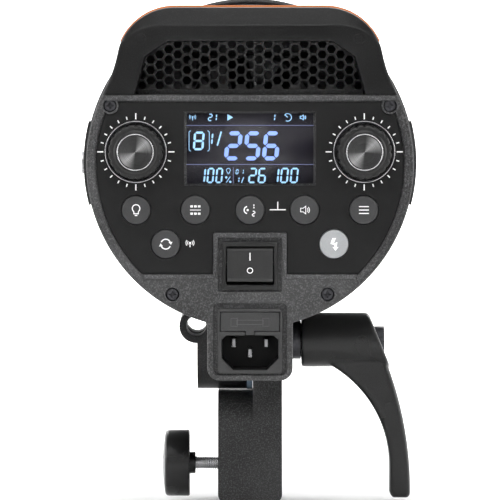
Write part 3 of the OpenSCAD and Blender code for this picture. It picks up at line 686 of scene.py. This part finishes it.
def keys():
    """Push keys with rounded rims; each key carries its own symbol."""
    symbols = key_symbols()
    face = REAR + 0.2
    for key, (x, z) in KEYS.items():
        node = "button_" + key
        mat = KEY_LIGHT if key == "flash" else KEY
        profile = [(0, face - 0.12), (2, face - 0.11), (4, face - 0.06), (5.3, face + 0.02),
                   (5.8, face + 0.14), (6.05, face + 0.4), (6.1, face + 0.8), (6.1, REAR + 4.7),
                   (7.2, REAR + 4.8), (7.2, REAR + 5.7), (6.1, REAR + 5.8), (6.1, REAR + 7.5),
                   (0, REAR + 7.5)]
        cap = lathe("key_" + key, profile, (x, 0, z), mat, "key_" + key, steps=64)
        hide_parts(node)
        prisms("key_" + key + "_symbol", shifted(symbols[key], x, z), face - 0.17, face + 0.1,
               INK_PAINTED_GLOW, "key_" + key)


def panel_print():
    """Symbols printed on the film between the keys."""
    marks = shifted(waves(2.0), -25.5, -33.3)
    marks += stroke([(8.4, -19.0), (15.2, -19.0)], 0.42) + stroke([(11.8, -19.0), (11.8, -15.6)], 0.42)
    prisms("panel_symbols", marks, FILM_Y - 0.06, FILM_Y + 0.05, INK_PAINTED_GLOW)


def screen():
    """The display's dark face with its lit segments, under the window."""
    face = REAR + 2.6
    finish_node("lcd_module", SCREEN)
    finish_node("lcd_window", WINDOW)
    big = []
    for char, x in (("2", -11.2), ("5", -3.1), ("6", 4.9)):
        big += digit(char, x, 1.9, 7.0, 12.4, 1.75)
    prisms("screen_big_digits", big, face - 0.06, face - 0.01, BIG_DIGIT)
    small = digit("8", -24.4, 6.2, 4.6, 8.0, 0.95, 0.08)
    for side in (-1, 1):
        edge = [(-21.6 + side * 3.5, 14.6), (-21.6 + side * 4.3, 14.0), (-21.6 + side * 4.3, 6.4),
                (-21.6 + side * 3.5, 5.8)]
        small += stroke(edge, 0.25)
    small += digit("1", -18.2, 8.4, 2.2, 5.4, 0.7) + stroke([(-13.9, 8.2), (-12.2, 14.2)], 0.65)
    for char, x in (("1", -22.2), ("0", -18.6), ("0", -14.9)):
        small += digit(char, x, -7.8, 3.0, 6.6, 0.75)
    for char, x in (("2", -0.9), ("6", 3.1), ("1", 8.6), ("0", 12.6), ("0", 16.8)):
        small += digit(char, x, -7.8, 3.4, 6.6, 0.75)
    small += digit("1", -5.8, -7.6, 1.2, 2.6, 0.45) + stroke([(-3.6, -7.6), (-2.7, -5.2)], 0.4)
    small += digit("0", -6.2, -4.0, 1.2, 2.2, 0.35) + digit("1", -3.6, -4.0, 0.8, 2.2, 0.35)
    small += shifted(lamp_symbol(1.35), -9.2, -2.6)
    small += disc(-10.1, -5.3, 0.5) + disc(-8.4, -7.2, 0.5) + stroke([(-10.1, -7.5), (-8.4, -5)], 0.32)
    small += shifted(waves(1.6), -24.4, 20.2)
    small += digit("2", -18.0, 18.6, 1.9, 3.2, 0.5) + digit("1", -15.4, 18.6, 1.2, 3.2, 0.5)
    small.append([(-9.6, 18.8), (-7.2, 20.2), (-9.6, 21.6)])
    small += digit("1", 9.4, 18.6, 1.2, 3.2, 0.5)
    small += hoop(16.0, 20.2, 1.6, 0.35, -120, 150, 18) + stroke([(16, 20.2), (14.8, 21.4)], 0.35)
    small += shifted(speaker_symbol(1.2, 0.3), 22.4, 20.2)
    prisms("screen_small_digits", small, face - 0.06, face - 0.01, SMALL_DIGIT)
    lines = [[(-27.0, z - 0.12), (27.4, z - 0.12), (27.4, z + 0.12), (-27.0, z + 0.12)]
             for z in (16.8, 0.2)]
    lines += [[(-7.2, -8.0), (-7.0, -8.0), (-7.0, -1.0), (-7.2, -1.0)]]
    prisms("screen_lines", lines, face - 0.06, face - 0.01, SCREEN_LINE)


# ---------------------------------------------------------------- dials, switch, inlet


# painted highlight: turns round the cap, as parts of a full turn, and how bright the painted highlight
# is there
PAINTED_HIGHLIGHT_FANS = [(0.0, 0.08), (0.12, 0.46), (0.24, 0.07), (0.48, 0.06), (0.62, 0.42), (0.74, 0.07),
        (1.0, 0.08)]


def spun_metal_and_painted_fans():
    """Dark cap turned on a lathe: fine rings, and two fan-shaped painted highlights in its colour."""
    mat, tree, bsdf = shader("spun_cap_painted_fans", (0.05, 0.05, 0.052), 0.34, 1.0, Anisotropic=0.85)
    direction = add(tree, "ShaderNodeTangent", direction_type="RADIAL", axis="Y")
    tree.links.new(direction.outputs["Tangent"], bsdf.inputs["Tangent"])
    coords = tree.nodes.new("ShaderNodeTexCoord")
    centred = add(tree, "ShaderNodeVectorMath", operation="SUBTRACT")
    centred.inputs[1].default_value = (0.5, 0.5, 0.5)
    parts = tree.nodes.new("ShaderNodeSeparateXYZ")
    face = tree.nodes.new("ShaderNodeCombineXYZ")
    reach = add(tree, "ShaderNodeVectorMath", operation="LENGTH")
    grooves = add(tree, "ShaderNodeTexNoise", Scale=45.0, Detail=2.0)
    grooves.noise_dimensions = "1D"
    sweep = tree.nodes.new("ShaderNodeTexGradient")
    sweep.gradient_type = "RADIAL"
    tree.links.new(coords.outputs["Generated"], centred.inputs[0])
    tree.links.new(centred.outputs["Vector"], parts.inputs["Vector"])
    tree.links.new(parts.outputs["X"], face.inputs["X"])
    tree.links.new(parts.outputs["Z"], face.inputs["Y"])
    tree.links.new(face.outputs["Vector"], reach.inputs[0])
    tree.links.new(face.outputs["Vector"], sweep.inputs["Vector"])
    tree.links.new(reach.outputs["Value"], grooves.inputs["W"])
    # painted highlight: two bright fan shapes, set by the angle round the cap, in the base colour
    painted_fans = ramp(tree, sweep.outputs["Fac"], PAINTED_HIGHLIGHT_FANS)
    tone = tree.nodes.new("ShaderNodeMix")
    tone.data_type = "RGBA"
    tone.blend_type = "MULTIPLY"
    tone.inputs["Factor"].default_value = 0.6
    rings = ramp(tree, grooves.outputs["Fac"], [(0.3, 0.35), (0.7, 1.0)])
    tree.links.new(painted_fans, tone.inputs["A"])
    tree.links.new(rings, tone.inputs["B"])
    tree.links.new(tone.outputs["Result"], bsdf.inputs["Base Color"])
    tree.links.new(ramp(tree, grooves.outputs["Fac"], [(0.3, 0.26), (0.7, 0.38)]),
                   bsdf.inputs["Roughness"])
    return mat


SPUN_AND_PAINTED_FANS = spun_metal_and_painted_fans()


def scalloped(radius, count, depth, steps=8):
    """Outline of a knob with shallow finger grooves."""
    loop = []
    for i in range(count * steps):
        a = 2 * math.pi * i / (count * steps)
        phase = (i % steps) / steps * 2 * math.pi
        dip = depth * max(0.0, math.cos(phase)) ** 2
        loop.append(((radius - dip) * math.cos(a), (radius - dip) * math.sin(a)))
    return loop


def dials():
    for side, (x, z) in DIALS.items():
        body = side + "_dial"
        bezel = rounded([(12.2, REAR - 0.45), (13.2, REAR - 0.25), (13.2, REAR + 0.7),
                         (12.2, REAR + 1.7)], [0.35, 0.35, 0, 0], 4)
        ring = lathe("dial_bezel_" + side, bezel, (x, 0, z), BLACK_STEEL, "head")
        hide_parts("dial_bezels")
        glint = rounded([(12.75, REAR - 0.62), (13.12, REAR - 0.62), (13.12, REAR - 0.2),
                         (12.75, REAR - 0.2)], 0.15, 3)
        lathe("dial_bezel_edge_" + side, glint, (x, 0, z), BRIGHT, "head")
        skirt = [(px + x, pz + z) for px, pz in scalloped(11.5, 20, 0.6)]
        knob = outline("dial_knob_" + side, [skirt], REAR - 7.4, REAR + 1.4, 0.9, SATIN, body)
        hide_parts("dial_" + side)
        shaft = [(0, REAR + 1.2), (3, REAR + 1.2), (3, REAR + 10), (0, REAR + 10)]
        lathe("dial_shaft_" + side, shaft, (x, 0, z), STEEL, body, steps=40)
        crown = rounded([(0, REAR - 8.0), (8.6, REAR - 8.0), (9.4, REAR - 7.3), (9.4, REAR - 6.8),
                         (0, REAR - 6.8)], [0, 0.4, 0.3, 0, 0], 4)
        lathe("dial_crown_" + side, crown, (x, 0, z), SATIN, body)
        rim = rounded([(7.35, REAR - 8.35), (7.8, REAR - 8.35), (7.8, REAR - 7.8),
                       (7.35, REAR - 7.8)], 0.15, 3)
        lathe("dial_rim_" + side, rim, (x, 0, z), BRIGHT, body)
        cap_profile = [(0, REAR - 8.05), (3.4, REAR - 8.1), (6.9, REAR - 8.16), (7.0, REAR - 8.0),
                       (7.0, REAR - 7.4), (0, REAR - 7.4)]
        cap = lathe("dial_cap_" + side + "_spun", cap_profile, (x, 0, z), SPUN_AND_PAINTED_FANS, body)
        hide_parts("dial_cap_" + side)


def switch():
    """Snap-in bezel, the well it stands in, and the rocker with its two marks."""
    opening = rectangle(-10.1, 10.1, -50.9, -34.6, 0.5, 3)
    bezel = outline("switch_bezel", [rectangle(-11.9, 11.9, -53.1, -32.6, 0.9), opening],
                    REAR - 0.1, REAR + 2.0, 0.35, SMOOTH)
    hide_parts("switch_frame")
    outline("switch_well", [rectangle(-10.8, 10.8, -51.9, -33.8), opening], REAR + 1.9, REAR + 18,
            0.05, DARK)
    outline("switch_well_floor", [rectangle(-10.3, 10.3, -51.2, -34.3)], REAR + 14, REAR + 17.5,
            0.05, DARK)
    finish_node("switch_rocker", ROCKER, 0.45)
    marks = [[(-0.22, 1.7), (0.22, 1.7), (0.22, 5.0), (-0.22, 5.0)]]
    marks += hoop(0, -2.7, 1.15, 0.36)
    pivot = Vector((0, (REAR + 3) * MM, (AXIS_Z - 42.75) * MM))
    rocker_marks("rocker_mark_on", marks[:1], pivot, 1)
    rocker_marks("rocker_mark_off", marks[1:], pivot, -1)


def rocker_marks(name, polygons, pivot, side):
    """Thin marks laid on one half of the rocker's face, which is a shallow V."""
    dent = math.atan2(1.2, 6.0) * side
    mark = prisms(name, polygons, -0.05, 0.05, INK_PAINTED_GLOW, "rocker", 0.0)
    lean = Matrix.Rotation(math.radians(-9), 4, "X")
    face = Matrix.Translation((0, -3.0 * MM, 0)) @ Matrix.Rotation(dent, 4, "X")
    mark.data.transform(Matrix.Translation(pivot) @ lean @ face)
    return mark


SOCKET = [(-12.1, -82.4), (-7.2, -87.3), (7.2, -87.3), (12.1, -82.4), (12.1, -74.5), (10.1, -72.5),
          (2.1, -72.5), (2.1, -70.9), (-2.1, -70.9), (-2.1, -72.5), (-10.1, -72.5), (-12.1, -74.5)]


def inlet():
    """Mains inlet: bevelled face, deep socket with three pins, and the fuse drawer above it."""
    hole = [(-12.8, -62.4), (-12.8, -70.9), (-2.1, -70.9), (-2.1, -72.5), (-10.1, -72.5),
            (-12.1, -74.5), (-12.1, -82.4), (-7.2, -87.3), (7.2, -87.3), (12.1, -82.4),
            (12.1, -74.5), (10.1, -72.5), (2.1, -72.5), (2.1, -70.9), (12.8, -70.9), (12.8, -62.4)]
    face = outline("inlet_face", [rectangle(-13.8, 13.8, -88.8, -61.1, 2.0), hole], REAR - 0.1,
                   REAR + 2.6, 0.3, INLET)
    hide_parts("inlet_body")
    outline("inlet_well", [rectangle(-13, 13, -88, -62), hole], REAR + 2.4, REAR + 27, 0.05, DARK)
    floor = [(x * 0.99, z) for x, z in SOCKET if z < -71]
    outline("inlet_floor", [floor], REAR + 18, REAR + 26.8, 0.05, DARK)
    spots = {"left": (-7, -76), "right": (7, -76), "earth": (0, -80.5)}
    for name, (x, z) in spots.items():
        blade = outline("inlet_pin_" + name, [rectangle(x - 1, x + 1, z - 2, z + 2, 0.5)],
                        REAR + 5.0, REAR + 27, 0.6, PIN)
        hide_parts("inlet_pins")
    finish_node("fuse_drawer", INLET, 0.3)
    top = REAR + 0.1
    marks = [rectangle(-8.1, -5.4, -68.6, -65.2), rectangle(5.4, 8.1, -68.6, -65.2),
             rectangle(-5.6, 5.6, -67.8, -66.0)]
    frame_marks = []
    for mark in marks:
        frame_marks += stroke(mark + mark[:1], 0.26)
    # the embossed strokes' lighter colour is a painted highlight
    prisms("fuse_symbol", frame_marks, top - 0.18, top + 0.1, MARK_PAINTED_HIGHLIGHT, "drawer")


# ---------------------------------------------------------------- handle and grille

HANDLE_REAR = REAR
BAR_FRONT = REAR + 16
CORNER = (32.0, 42.0)
BEVEL_TABLE = [(0, 0.9), (24, 0.9), (34, 1.7), (44, 2.8), (57, 4.8), (75, 6.6), (90, 7.4)]


def table_value(table, x):
    for (x0, y0), (x1, y1) in zip(table, table[1:]):
        if x <= x1:
            return y0 + (y1 - y0) * (x - x0) / (x1 - x0)
    return table[-1][1]


def inner_edge(angle):
    """Point of the hand opening met by a line from the corner's centre at an angle."""
    a = math.radians(angle)
    if angle >= 73.9:
        return CORNER[0] + 10.4 / math.tan(a), 52.4
    start, end = Vector((44.5, 46.0)), Vector((35.0, 52.4))
    ray, wall = Vector((math.cos(a), math.sin(a))), end - start
    gap = start - Vector(CORNER)
    t = (gap.x * wall.y - gap.y * wall.x) / (ray.x * wall.y - ray.y * wall.x)
    spot = Vector(CORNER) + ray * t
    return tuple(spot)


def handle_stations():
    """Matched outer and inner points with the bevel's width, from the right foot to the middle."""
    foot = (math.sqrt(COVER_R ** 2 - STEP_Z ** 2), STEP_Z)
    start = arc(CORNER, 25, 17.7, 17.7, 1)[0]
    rows = []
    for k in range(8):
        t = k / 8
        outer = (foot[0] + (start[0] - foot[0]) * t - 0.9 * math.sin(math.pi * t),
                 foot[1] + (start[1] - foot[1]) * t)
        rows.append((outer, (49 - 4.5 * t, STEP_Z + (46 - STEP_Z) * t), 0.9))
    for k in range(25):
        angle = 17.7 + (90 - 17.7) * k / 24
        a = math.radians(angle)
        outer = (CORNER[0] + 25 * math.cos(a), CORNER[1] + 25 * math.sin(a))
        rows.append((outer, inner_edge(angle), table_value(BEVEL_TABLE, angle)))
    for k in range(1, 7):
        x = CORNER[0] * (1 - k / 6)
        rows.append(((x, 67.0), (x, 52.4), 7.4))
    return rows


def handle_front(z):
    """Y of the bar's front face, which is flat at the top and runs forward to the casing at its feet."""
    return min(BAR_FRONT + max(0.0, 51 - z) * 15 / 13, COVER_FRONT)


def handle_section(outer, inner, bevel):
    width = math.dist(outer, inner)
    way = ((outer[0] - inner[0]) / width, (outer[1] - inner[1]) / width)
    drop = bevel * 0.86
    rear = [(0.0, 0.9), (0.25, 0.28), (0.9, 0.0), (width - bevel - 0.9, 0.0),
            (width - bevel - 0.2, 0.12), (width - bevel + 0.5, 0.62),
            (width - 0.5, drop * 0.93), (width - 0.12, drop + 0.25), (width, drop + 1.1)]
    front = [(width, 1.0), (width - 0.3, 0.3), (width - 1.0, 0.0), (1.0, 0.0), (0.3, 0.3),
             (0.0, 1.0)]
    ring = []
    for s, y in rear:
        ring.append((inner[0] + way[0] * s, HANDLE_REAR + y, inner[1] + way[1] * s))
    for s, y in front:
        x, z = inner[0] + way[0] * s, inner[1] + way[1] * s
        ring.append((x, handle_front(z) - y, z))
    return ring


def handle():
    right = [handle_section(*row) for row in handle_stations()]
    left = [[(-x, y, z) for x, y, z in ring] for ring in right[-2::-1]]
    rings = right + left
    count = len(rings[0])
    verts = [p for ring in rings for p in ring]
    faces = [tuple(range(count)), tuple(range((len(rings) - 1) * count, len(rings) * count))]
    for i in range(len(rings) - 1):
        for j in range(count):
            k = (j + 1) % count
            faces.append((i * count + j, i * count + k, (i + 1) * count + k, (i + 1) * count + j))
    mesh = mesh_of("handle_bar", verts, faces, AXIS_Z)
    bar = add_piece("handle_bar", mesh, HANDLE, "head", 40)
    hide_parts("handle")
    for side, x in (("left", -46.3), ("right", 46.3)):
        plug = rounded([(0, REAR - 0.12), (2.3, REAR - 0.12), (2.3, REAR + 1.4), (0, REAR + 1.4)],
                       [0, 0.3, 0, 0], 3)
        cap = lathe("handle_plug_" + side, plug, (x, 0, 53.6), HANDLE, "head",
                    steps=40)
        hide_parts("handle_plugs")
    over = arc(CORNER, 25.9, 24, 90, 30)
    under = arc(CORNER, 23.9, 90, 24, 30)
    band = over + [(-x, z) for x, z in over[::-1]] + [(-x, z) for x, z in under[::-1]] + under
    trim = outline("handle_trim_band", [band], BAR_FRONT + 0.05, BAR_FRONT + 2.4, 0.25, ORANGE)
    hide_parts("handle_trim")


def step_ledge():
    """Ledge at the foot of the hand opening, under the grille."""
    half = 48.6
    outline("grille_ledge", [rectangle(-half, half, STEP_Z - 0.4, STEP_Z + 2.2, 0.5)],
            COVER_FRONT - 6, COVER_FRONT - 0.2, 0.4, TEXTURED)


# ---------------------------------------------------------------- bracket, stand, lever


def thread():
    """Turned thread of the clamp screw, with its plain ends inside the knob and the pad."""
    x0, x1, pitch, crest, root = -33.5, -11.2, 1.0, 2.95, 2.4
    steps, around = int((x1 - x0) * 8), 32
    verts, faces = [], []
    for i in range(steps + 1):
        x = x0 + (x1 - x0) * i / steps
        for j in range(around):
            phase = (x / pitch - j / around) % 1.0
            radius = root + (crest - root) * min(1.0, 1.25 - abs(phase - 0.5) * 2.4)
            radius = max(root, radius)
            a = 2 * math.pi * j / around
            verts.append((x, radius * math.cos(a), radius * math.sin(a)))
    for i in range(steps):
        for j in range(around):
            k = (j + 1) % around
            a, b = i * around, (i + 1) * around
            faces.append((a + j, a + k, b + k, b + j))
    faces += [tuple(range(around)), tuple(range(steps * around, (steps + 1) * around))]
    mesh = mesh_of("clamp_thread", verts, faces, CLAMP_Z)
    screw = add_piece("clamp_thread", mesh, THREAD, "clamp_turner", 25)
    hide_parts("clamp_screw")
    tip = [(0, -11.3), (1.45, -11.3), (1.45, -9.9), (1.2, -9.7), (0, -9.7)]
    lathe("clamp_tip", tip, (0, 0, 0), STEEL, "clamp_turner", "X", 32, CLAMP_Z)


CLAMP_Z = sum(limit[2] for limit in limits("clamp_knob")) / 2


def clamp_knob():
    """Moulded knob: domed outer face, straight rim with soft edges, short collar."""
    dome = [(r, 35.3 - math.sqrt(75 ** 2 - r * r)) for r in (0, 3, 6, 9, 11.5, 13.3)]
    dome += [(14.3, -38.2), (14.85, -37.6), (15.1, -36.6)]
    profile = dome + rounded([(15.1, -36.6), (15.1, -27.3), (4.9, -27.3)], [0, 0.9, 0], 4)[1:]
    profile += rounded([(4.9, -27.3), (4.9, -24.7), (3.0, -24.7)], [0, 0.4, 0], 3)[1:]
    profile += [(3.0, -33.4), (0, -33.4)]
    knob = lathe("clamp_knob_body", profile, (0, 0, 0), SMOOTH, "clamp_turner",
                 "X", 72, CLAMP_Z)
    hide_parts("clamp_knob")


def stand_parts():
    finish_node("stand_block", TEXTURED, 0.9, segments=3)
    finish_node("tilt_bolt", STEEL, 0.3)
    finish_node("friction_disc", FIBRE, 0.2)
    finish_node("pressure_pad", BRASS, 0.2)
    finish_node("head_bracket", CAST, 0.9, segments=3)
    clamp_knob()
    thread()


def lever_hub():
    """Barrel of the lever with its slanted outer end, bored for the spring and the screw."""
    steps, verts, faces = 64, [], []
    rings = [(11.6, 23.2, False), (12.3, 23.9, False), (12.3, 0, True), (11.7, 0.7, True),
             (6.6, 0.7, True), (6.4, 39.5, False)]
    for radius, x, slanted in rings:
        for i in range(steps):
            a = 2 * math.pi * i / steps
            z = radius * math.sin(a)
            along = 66.1 - 0.404 * (z + 20) + x if slanted else x
            verts.append((along, radius * math.cos(a), z))
    for k in range(len(rings) - 1):
        for i in range(steps):
            j = (i + 1) % steps
            a, b = k * steps, (k + 1) * steps
            faces.append((a + i, a + j, b + j, b + i))
    faces += [tuple(range(steps)), tuple(range((len(rings) - 1) * steps, len(rings) * steps))]
    return mesh_of("lever_hub", verts, faces, TILT_Z)


def lever():
    """Cast lever: barrel and curved arm grown together, with rounded edges."""
    inner = arc((9.9, -57.5), 53.3, 64, 0, 24) + [(63.2, -69.2), (64.6, -71.3)]
    outer = [(71.4, -71.4), (72.6, -70.0)] + arc((-89.1, -67.7), 161.7, -0.8, 20.6, 30)
    arm = outline("lever_arm_part", [inner + outer + [(59.5, -7.4), (40, -7.4)]], -7.5, 7.5, 2.3,
                  SMOOTH, "lever_arm", TILT_Z)
    body = bpy.data.objects.new("lever_body", lever_hub())
    bpy.context.collection.objects.link(body)
    shape = bmesh.new()
    shape.from_mesh(body.data)
    shape.from_mesh(arm.data)
    shape.to_mesh(body.data)
    shape.free()
    bpy.data.objects.remove(arm)
    melt = body.modifiers.new("melt", "REMESH")
    melt.mode = "VOXEL"
    melt.voxel_size = 0.55 * MM
    ease = body.modifiers.new("ease", "SMOOTH")
    ease.iterations = 9
    graph = bpy.context.evaluated_depsgraph_get()
    mesh = bpy.data.meshes.new_from_object(body.evaluated_get(graph))
    bpy.data.objects.remove(body)
    whole = add_piece("lever_casting", mesh, SMOOTH, "lever_arm", 60)
    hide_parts("lever")
    finish_node("lever_screw", BLACK_STEEL, 0.5)
    finish_node("lever_spring", STEEL)
    finish_node("lever_insert", STEEL, 0.15)
    profile = rounded([(4.1, 14.8), (8.7, 14.8), (8.7, 16.6), (8.1, 16.9), (8.1, 17.4), (8.7, 17.7),
                       (8.7, 23.0), (4.1, 23.0)], [0.2, 0.5, 0.2, 0.2, 0.2, 0.2, 0.4, 0.2], 3)
    collar = lathe("lever_collar_turned", profile, (0, 0, 0), BLACK_STEEL, "lever_nut",
                   "X", 64, TILT_Z)
    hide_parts("lever_collar")


# ---------------------------------------------------------------- casing and front end


def shells():
    finish_node("main_casing", CASING)
    finish_node("side_panel_left", TEXTURED, 0.4)
    finish_node("side_panel_right", TEXTURED, 0.4)
    finish_node("rear_grille", GRILLE)
    finish_node("case_screws", BLACK_STEEL)
    finish_node("sync_jack", STEEL, 0.2)
    seam = rounded([(CASING_R - 1.5, 121.9), (CASING_R + 0.35, 121.9), (CASING_R + 0.35, 119.4),
                    (CASING_R - 1.5, 119.4)], [0, 0.3, 0.3, 0], 3)
    lathe("casing_front_band", seam, (0, 0, 0), CAST, steps=180)


def front_end():
    """The accessory ring with its raised bead, and the parts seen through it."""
    finish_node("front_ring", CAST, 0.5)
    bead = rounded([(71.0, 123.6), (72.25, 123.6), (72.25, 125.2), (71.0, 125.2)],
                   [0, 0.3, 0.3, 0], 3)
    lathe("front_ring_bead", bead, (0, 0, 0), CAST, steps=180)
    finish_node("bayonet_ring", BLACK_STEEL, 0.5, segments=3)
    finish_node("lock_slider", SATIN, 0.4)
    finish_node("lock_spring", STEEL)
    finish_node("reflector_pan", PAN)
    finish_node("lamp_socket", CERAMIC, 0.4)
    finish_node("led_module", PHOSPHOR, 0.3)
    finish_node("flash_tube", TUBE)
    finish_node("glass_dome", DOME)


def inner_parts():
    finish_node("control_board", BOARD)
    finish_node("power_board", BOARD)
    finish_node("capacitors", SLEEVE, 0.8)
    finish_node("heat_sink", ALUMINIUM, 0.2)
    finish_node("chassis", ALUMINIUM, 0.2)
    finish_node("fan_frame", DARK, 0.3)
    finish_node("fan_rotor", SATIN)
    finish_node("fuse", BRIGHT, 0.2)


# ---------------------------------------------------------------- stage


def paper(name, tone):
    mat, tree, bsdf = shader(name, (tone,) * 3, 0.9)
    shade = ramp(tree, noise(tree, 3, 2.0), [(0.3, tone * 0.985), (0.7, tone)])
    tree.links.new(shade, bsdf.inputs["Base Color"])
    tree.links.new(shade, bsdf.inputs["Emission Color"])
    place = tree.nodes.new("ShaderNodeSeparateXYZ")
    coords = tree.nodes.new("ShaderNodeTexCoord")
    tree.links.new(coords.outputs["Object"], place.inputs["Vector"])
    tree.links.new(ramp(tree, place.outputs["Y"], [(0.0, 0.06), (0.35, 0.85)]),
                   bsdf.inputs["Emission Strength"])
    return mat


def floor_and_backdrop():
    """A pale round floor under the object that curves up into a wall on every side."""
    profile = [(0.0, 0.0), (5.0, 0.0)]
    profile += [(5.0 + 1.5 * math.sin(math.radians(a)), 1.5 - 1.5 * math.cos(math.radians(a)))
                for a in range(6, 91, 6)]
    profile += [(6.5, 7.0)]
    steps, verts, faces = 96, [], []
    for radius, z in profile:
        for i in range(steps):
            turn = 2 * math.pi * i / steps
            verts.append((radius * math.cos(turn), radius * math.sin(turn), z - 0.0012))
    for k in range(len(profile) - 1):
        for i in range(steps):
            a, b = k * steps + i, k * steps + (i + 1) % steps
            faces.append((a, b, b + steps, a + steps))
    mesh = bpy.data.meshes.new("studio_sheet")
    mesh.from_pydata(verts, [], faces)
    mesh.shade_smooth()
    sheet = bpy.data.objects.new("studio_sheet", mesh)
    bpy.context.collection.objects.link(sheet)
    mesh.materials.append(paper("paper", 0.92))


def softbox(name, spot, aim, size, power, tone=(1, 1, 1)):
    light = bpy.data.lights.new(name, "AREA")
    light.shape = "RECTANGLE"
    light.size, light.size_y = size
    light.energy = power
    light.color = tone
    obj = bpy.data.objects.new(name, light)
    bpy.context.collection.objects.link(obj)
    obj.location = spot
    obj.rotation_euler = (Vector(aim) - Vector(spot)).to_track_quat("-Z", "Y").to_euler()


def lights():
    world = bpy.data.worlds.new("studio")
    bpy.context.scene.world = world
    world.use_nodes = True
    world.node_tree.nodes["Background"].inputs["Color"].default_value = (1, 1, 1, 1)
    world.node_tree.nodes["Background"].inputs["Strength"].default_value = 0.04
    centre = (0, 0, 0.15)
    softbox("key", (-1.1, -1.3, 1.3), centre, (0.9, 0.9), 1.6)
    softbox("fill", (1.4, -1.5, 0.7), centre, (1.2, 1.2), 0.8)
    softbox("top", (0, -0.2, 1.6), centre, (1.2, 1.2), 9)
    softbox("brow", (0, -0.5, 0.62), (0, -0.128, 0.19), (0.6, 0.2), 1.6)
    softbox("rim_left", (-1.3, -0.1, 0.4), centre, (0.3, 1.4), 7)
    softbox("rim_right", (1.3, -0.1, 0.4), centre, (0.3, 1.4), 7)
    softbox("back_wash", (0, 4.6, 4.6), (0, 6.4, 0.8), (4.5, 1.5), 260)


def camera():
    """At the height of the dials, a little above level, a long way back."""
    cam = bpy.data.cameras.new("camera")
    cam.sensor_width = 36
    cam.lens = 305.3
    obj = bpy.data.objects.new("camera", cam)
    bpy.context.collection.objects.link(obj)
    spot = Vector((0, -1.92, (AXIS_Z + 50) * MM))
    aim = Vector((0, REAR * MM, (AXIS_Z - 36.1) * MM))
    obj.location = spot
    obj.rotation_euler = (aim - spot).to_track_quat("-Z", "Y").to_euler()
    cam.clip_start, cam.clip_end = 0.05, 50
    bpy.context.scene.camera = obj


rear_cover()
cover_ridges()
panel_film()
dial_ticks()
panel_print()
keys()
screen()
dials()
switch()
inlet()
handle()
step_ledge()
stand_parts()
lever()
shells()
front_end()
inner_parts()
floor_and_backdrop()
lights()
camera()
bpy.context.scene.view_settings.view_transform = "Standard"
